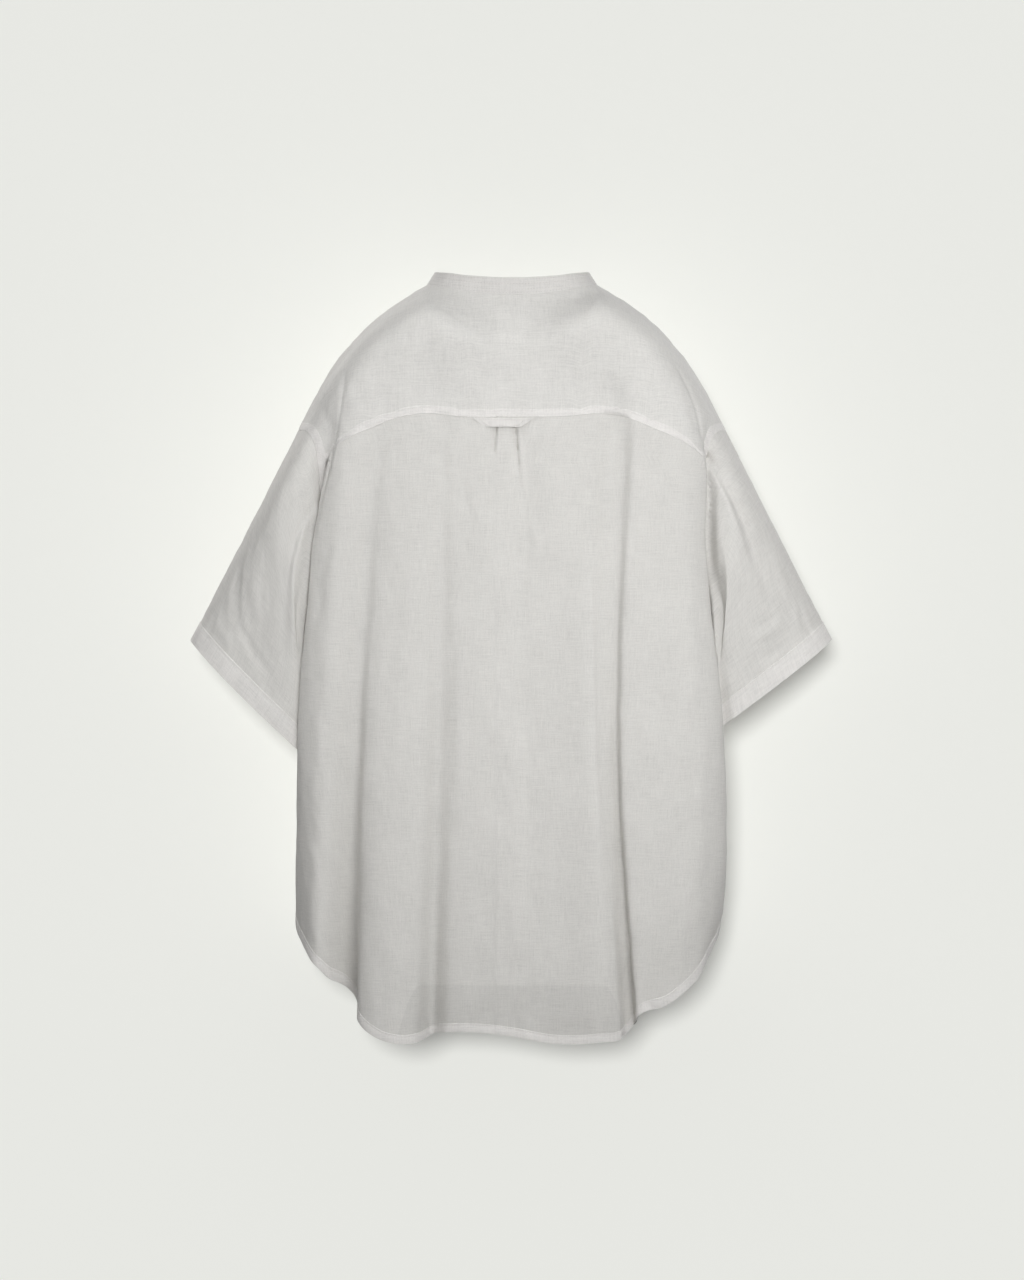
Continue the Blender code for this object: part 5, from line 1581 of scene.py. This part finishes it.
def loop_points(v, lift):
    """A row of the loop, v of the way down it, lift over its back."""
    across = np.linspace(0, 1, LOOP_COLUMNS)
    left, right = (1 - v) * np.array(LOOP_TOP) + v * np.array(LOOP_LOW)
    x = left + (right - left) * across
    z = np.full_like(x, LOOP_TOP_Z - LOOP_HEIGHT * v)
    bow = LOOP_BOW * (LOOP_TOP_BOW + (1 - LOOP_TOP_BOW) * v) * np.sin(math.pi * across)
    y = loop_back[0] + (loop_back[1] - loop_back[0]) * across + 2 * LAY_GAP + bow + lift
    return np.stack([x, y, z], axis=-1)


loop_outer = np.array([loop_points(d / LOOP_HEIGHT, LOOP_EDGE + h) for d, h in LOOP_FACE])
loop_inner = np.array([loop_points(d / LOOP_HEIGHT, 0.0) for d, _ in LOOP_FACE])
loop = shell("cloth_locker_loop", loop_outer, loop_inner, cells(loop_outer), FOLDED)
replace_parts(loop, "locker_loop")
towards_back = np.tile((0.0, 1.0, 0.0), (LOOP_COLUMNS, 1))
inside = slice(LOOP_STITCH_ENDS, -LOOP_STITCH_ENDS)
loop_face = LOOP_WALL + LOOP_STITCH_RISE
loop_lines = [(loop_points(v, loop_face)[inside], towards_back[inside]) for v in LOOP_STITCHES]
sewing["loop"] = stitches("stitches_loop", loop_lines, THREAD_WHITE)

bars = []
for column in BARTACKS:
    for k in range(BARTACK_STITCHES):
        row = loop_points(BARTACK_TOP + BARTACK_TALL * k / (BARTACK_STITCHES - 1), LOOP_WALL + BARTACK_RISE)
        bars.append((row[column - 1 : column + 2], towards_back[:3]))
sewing["bartacks"] = stitches("bartacks_loop", bars, THREAD_WHITE, pitch=2.0, length=2.2, thread=0.42)


# ---------------------------------------------------------------- label

LABEL_GRID = (25, 29)  # columns and rows
LABEL_CLOTH = 0.5
LABEL_THREAD_AT = 0.55  # how far inside its outer face its stitches lie

label_columns, label_rows = LABEL_GRID
label_across = np.linspace(LABEL_HALF, -LABEL_HALF, label_columns)
label_x, label_z = np.meshgrid(label_across, np.linspace(LABEL_TOP_Z, LABEL_LOW_Z, label_rows))
near_label = grids["yoke"][YOKE_FRONT_ROWS:, np.abs(grids["yoke"][-1, :, 0]) < 3 * LABEL_HALF]
steps = (0, SLOPE_STEP, -SLOPE_STEP)
label_y, above, below = (surface_y(near_label, label_x, label_z + step) for step in steps)
label_slope = (above - below) / (2 * SLOPE_STEP)
label_normal = unit(np.stack([0 * label_x, 1 + 0 * label_x, -label_slope], axis=-1))
label_outer = np.stack([label_x, label_y, label_z], axis=-1) - label_normal * (WALL + 3 * LAY_GAP)
label_inner = label_outer - label_normal * LABEL_CLOTH
label = shell("woven_neck_label", label_outer, label_inner, cells(label_outer), LABEL)
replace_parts(label, "neck_label")
label_lines = [(label_outer[k] - label_normal[k] * LABEL_THREAD_AT, -label_normal[k]) for k in (1, -2)]
sewing["label"] = stitches("stitches_label", label_lines, THREAD_WHITE)


# ---------------------------------------------------------------- studio

PIXEL = 1.04  # millimetres of the shirt to a pixel of the 1024 by 1280 picture,
FACE_Y = 30.0  # at this depth
PICTURE_TALL = 1280
VIEW_FROM = 7000.0
MIDDLE_Z = -358.8
SENSOR = 36.0
FARTHEST = 100.0  # metres that the camera sees
WALL_Y = -150.0  # the pale wall beyond the shirt
WALL_HALF = 3.0  # metres
WALL_COLOUR = (0.800, 0.807, 0.770)
WALL_FILL = 0.19  # the light that reaches the wall in the shirt's shadow
WALL_LIGHT = 2.17
WALL_LIGHT_WAY = (-0.050, -1.0, -0.075)
WALL_LIGHT_ANGLE = 9.0  # degrees across: it makes the shirt's shadow soft
PALE = (0.807, 0.815, 0.776)  # the backdrop around the wall
ROOM = (0.12, 0.12, 0.12)  # the light from all round
BROAD_SPREAD = 86.0  # degrees over which the broad light shines
AIM = (0.0, 0.0, -0.36)  # the middle of the shirt, in metres
COOL, WARM, WHITE = (0.995, 1.0, 1.008), (1.0, 0.985, 0.96), (1.0, 1.0, 1.0)
LAMPS = (
    # name, place in metres, size, power, colour
    ("broad", (-0.40, 1.45, -0.17), 1.1, 5.2, COOL),
    ("over_left", (0.95, 0.45, 0.95), 0.8, 5.6, COOL),
    ("over_right", (-0.95, 0.45, 0.95), 0.8, 4.8, COOL),
    ("right", (-1.8, 1.2, 0.2), 1.0, 4.5, COOL),
    ("left", (1.8, 1.2, 0.2), 1.0, 9.0, COOL),
    ("front_left", (1.4, -2.8, 1.2), 1.2, 62.0, WARM),
    ("front_right", (-1.6, -2.6, 0.6), 1.8, 40.0, WHITE),
)


def placed(name, data, toward=None):
    """An object of the scene. A light's shines toward a direction."""
    ob = bpy.data.objects.new(name, data)
    bpy.context.scene.collection.objects.link(ob)
    if toward is not None:
        ob.rotation_euler = mathutils.Vector(toward).to_track_quat("-Z", "Y").to_euler()
    return ob


def lit_only(name, ob, state):
    """A collection that makes a light shine on this object alone, or on all but it."""
    collection = bpy.data.collections.new(name)
    collection.objects.link(ob)
    collection.collection_objects[0].light_linking.link_state = state
    return collection


camera_data = bpy.data.cameras.new("camera")
camera_data.sensor_width = SENSOR
camera_data.lens = SENSOR * VIEW_FROM / (PIXEL * PICTURE_TALL)
camera_data.clip_end = FARTHEST
camera = placed("camera", camera_data)
camera.location = (0, (VIEW_FROM + FACE_Y) * MM, MIDDLE_Z * MM)
camera.rotation_euler = (math.pi / 2, 0, math.pi)
bpy.context.scene.camera = camera

# The wall shows from the shirt's side alone. It takes its own light and the shirt's shadow, and gives none.
wall_mesh = bpy.data.meshes.new("wall")
corners = ((1, -1), (-1, -1), (-1, 1), (1, 1))
corners = [(WALL_HALF * x, WALL_Y * MM, WALL_HALF * z + AIM[2]) for x, z in corners]
wall_mesh.from_pydata(corners, [], [(0, 1, 2, 3)])
wall = placed("wall", wall_mesh)
wall_nodes = Nodes("wall", WALL_COLOUR, 0.9)
wall_nodes.set("Specular IOR Level", 0.0)
wall_nodes.set("Emission Color", (*WALL_COLOUR, 1))
wall_nodes.set("Emission Strength", WALL_FILL)
from_behind = wall_nodes.add("NewGeometry").outputs["Backfacing"]
wall_nodes.mixed_with(from_behind, wall_nodes.add("BsdfTransparent"))
wall_mesh.materials.append(wall_nodes.material)
wall.visible_diffuse = wall.visible_glossy = wall.visible_transmission = wall.visible_shadow = False

off_wall = lit_only("all_but_the_wall", wall, "EXCLUDE")
on_wall = lit_only("wall_alone", wall, "INCLUDE")
for name, place, size, power, colour in LAMPS:
    data = bpy.data.lights.new(name, "AREA")
    data.size, data.energy, data.color = size, power, colour
    ob = placed(name, data, mathutils.Vector(AIM) - mathutils.Vector(place))
    ob.location = place
    ob.light_linking.receiver_collection = off_wall
bpy.data.lights["broad"].spread = math.radians(BROAD_SPREAD)
sun_data = bpy.data.lights.new("wall_light", "SUN")
sun_data.energy, sun_data.angle = WALL_LIGHT, math.radians(WALL_LIGHT_ANGLE)
placed("wall_light", sun_data, WALL_LIGHT_WAY).light_linking.receiver_collection = on_wall

world = bpy.data.worlds.new("studio")
bpy.context.scene.world = world
world.use_nodes = True
tree = world.node_tree
backdrop = tree.nodes["Background"]
backdrop.inputs["Color"].default_value = (*PALE, 1)
backdrop.inputs["Strength"].default_value = 1.0
room = tree.nodes.new("ShaderNodeBackground")
room.inputs["Color"].default_value = (*ROOM, 1)
chosen = tree.nodes.new("ShaderNodeMixShader")
rays = tree.nodes.new("ShaderNodeLightPath")
tree.links.new(rays.outputs["Is Camera Ray"], chosen.inputs[0])
tree.links.new(room.outputs[0], chosen.inputs[1])
tree.links.new(backdrop.outputs[0], chosen.inputs[2])
tree.links.new(chosen.outputs[0], tree.nodes["World Output"].inputs["Surface"])
bpy.context.scene.view_settings.view_transform = "Standard"
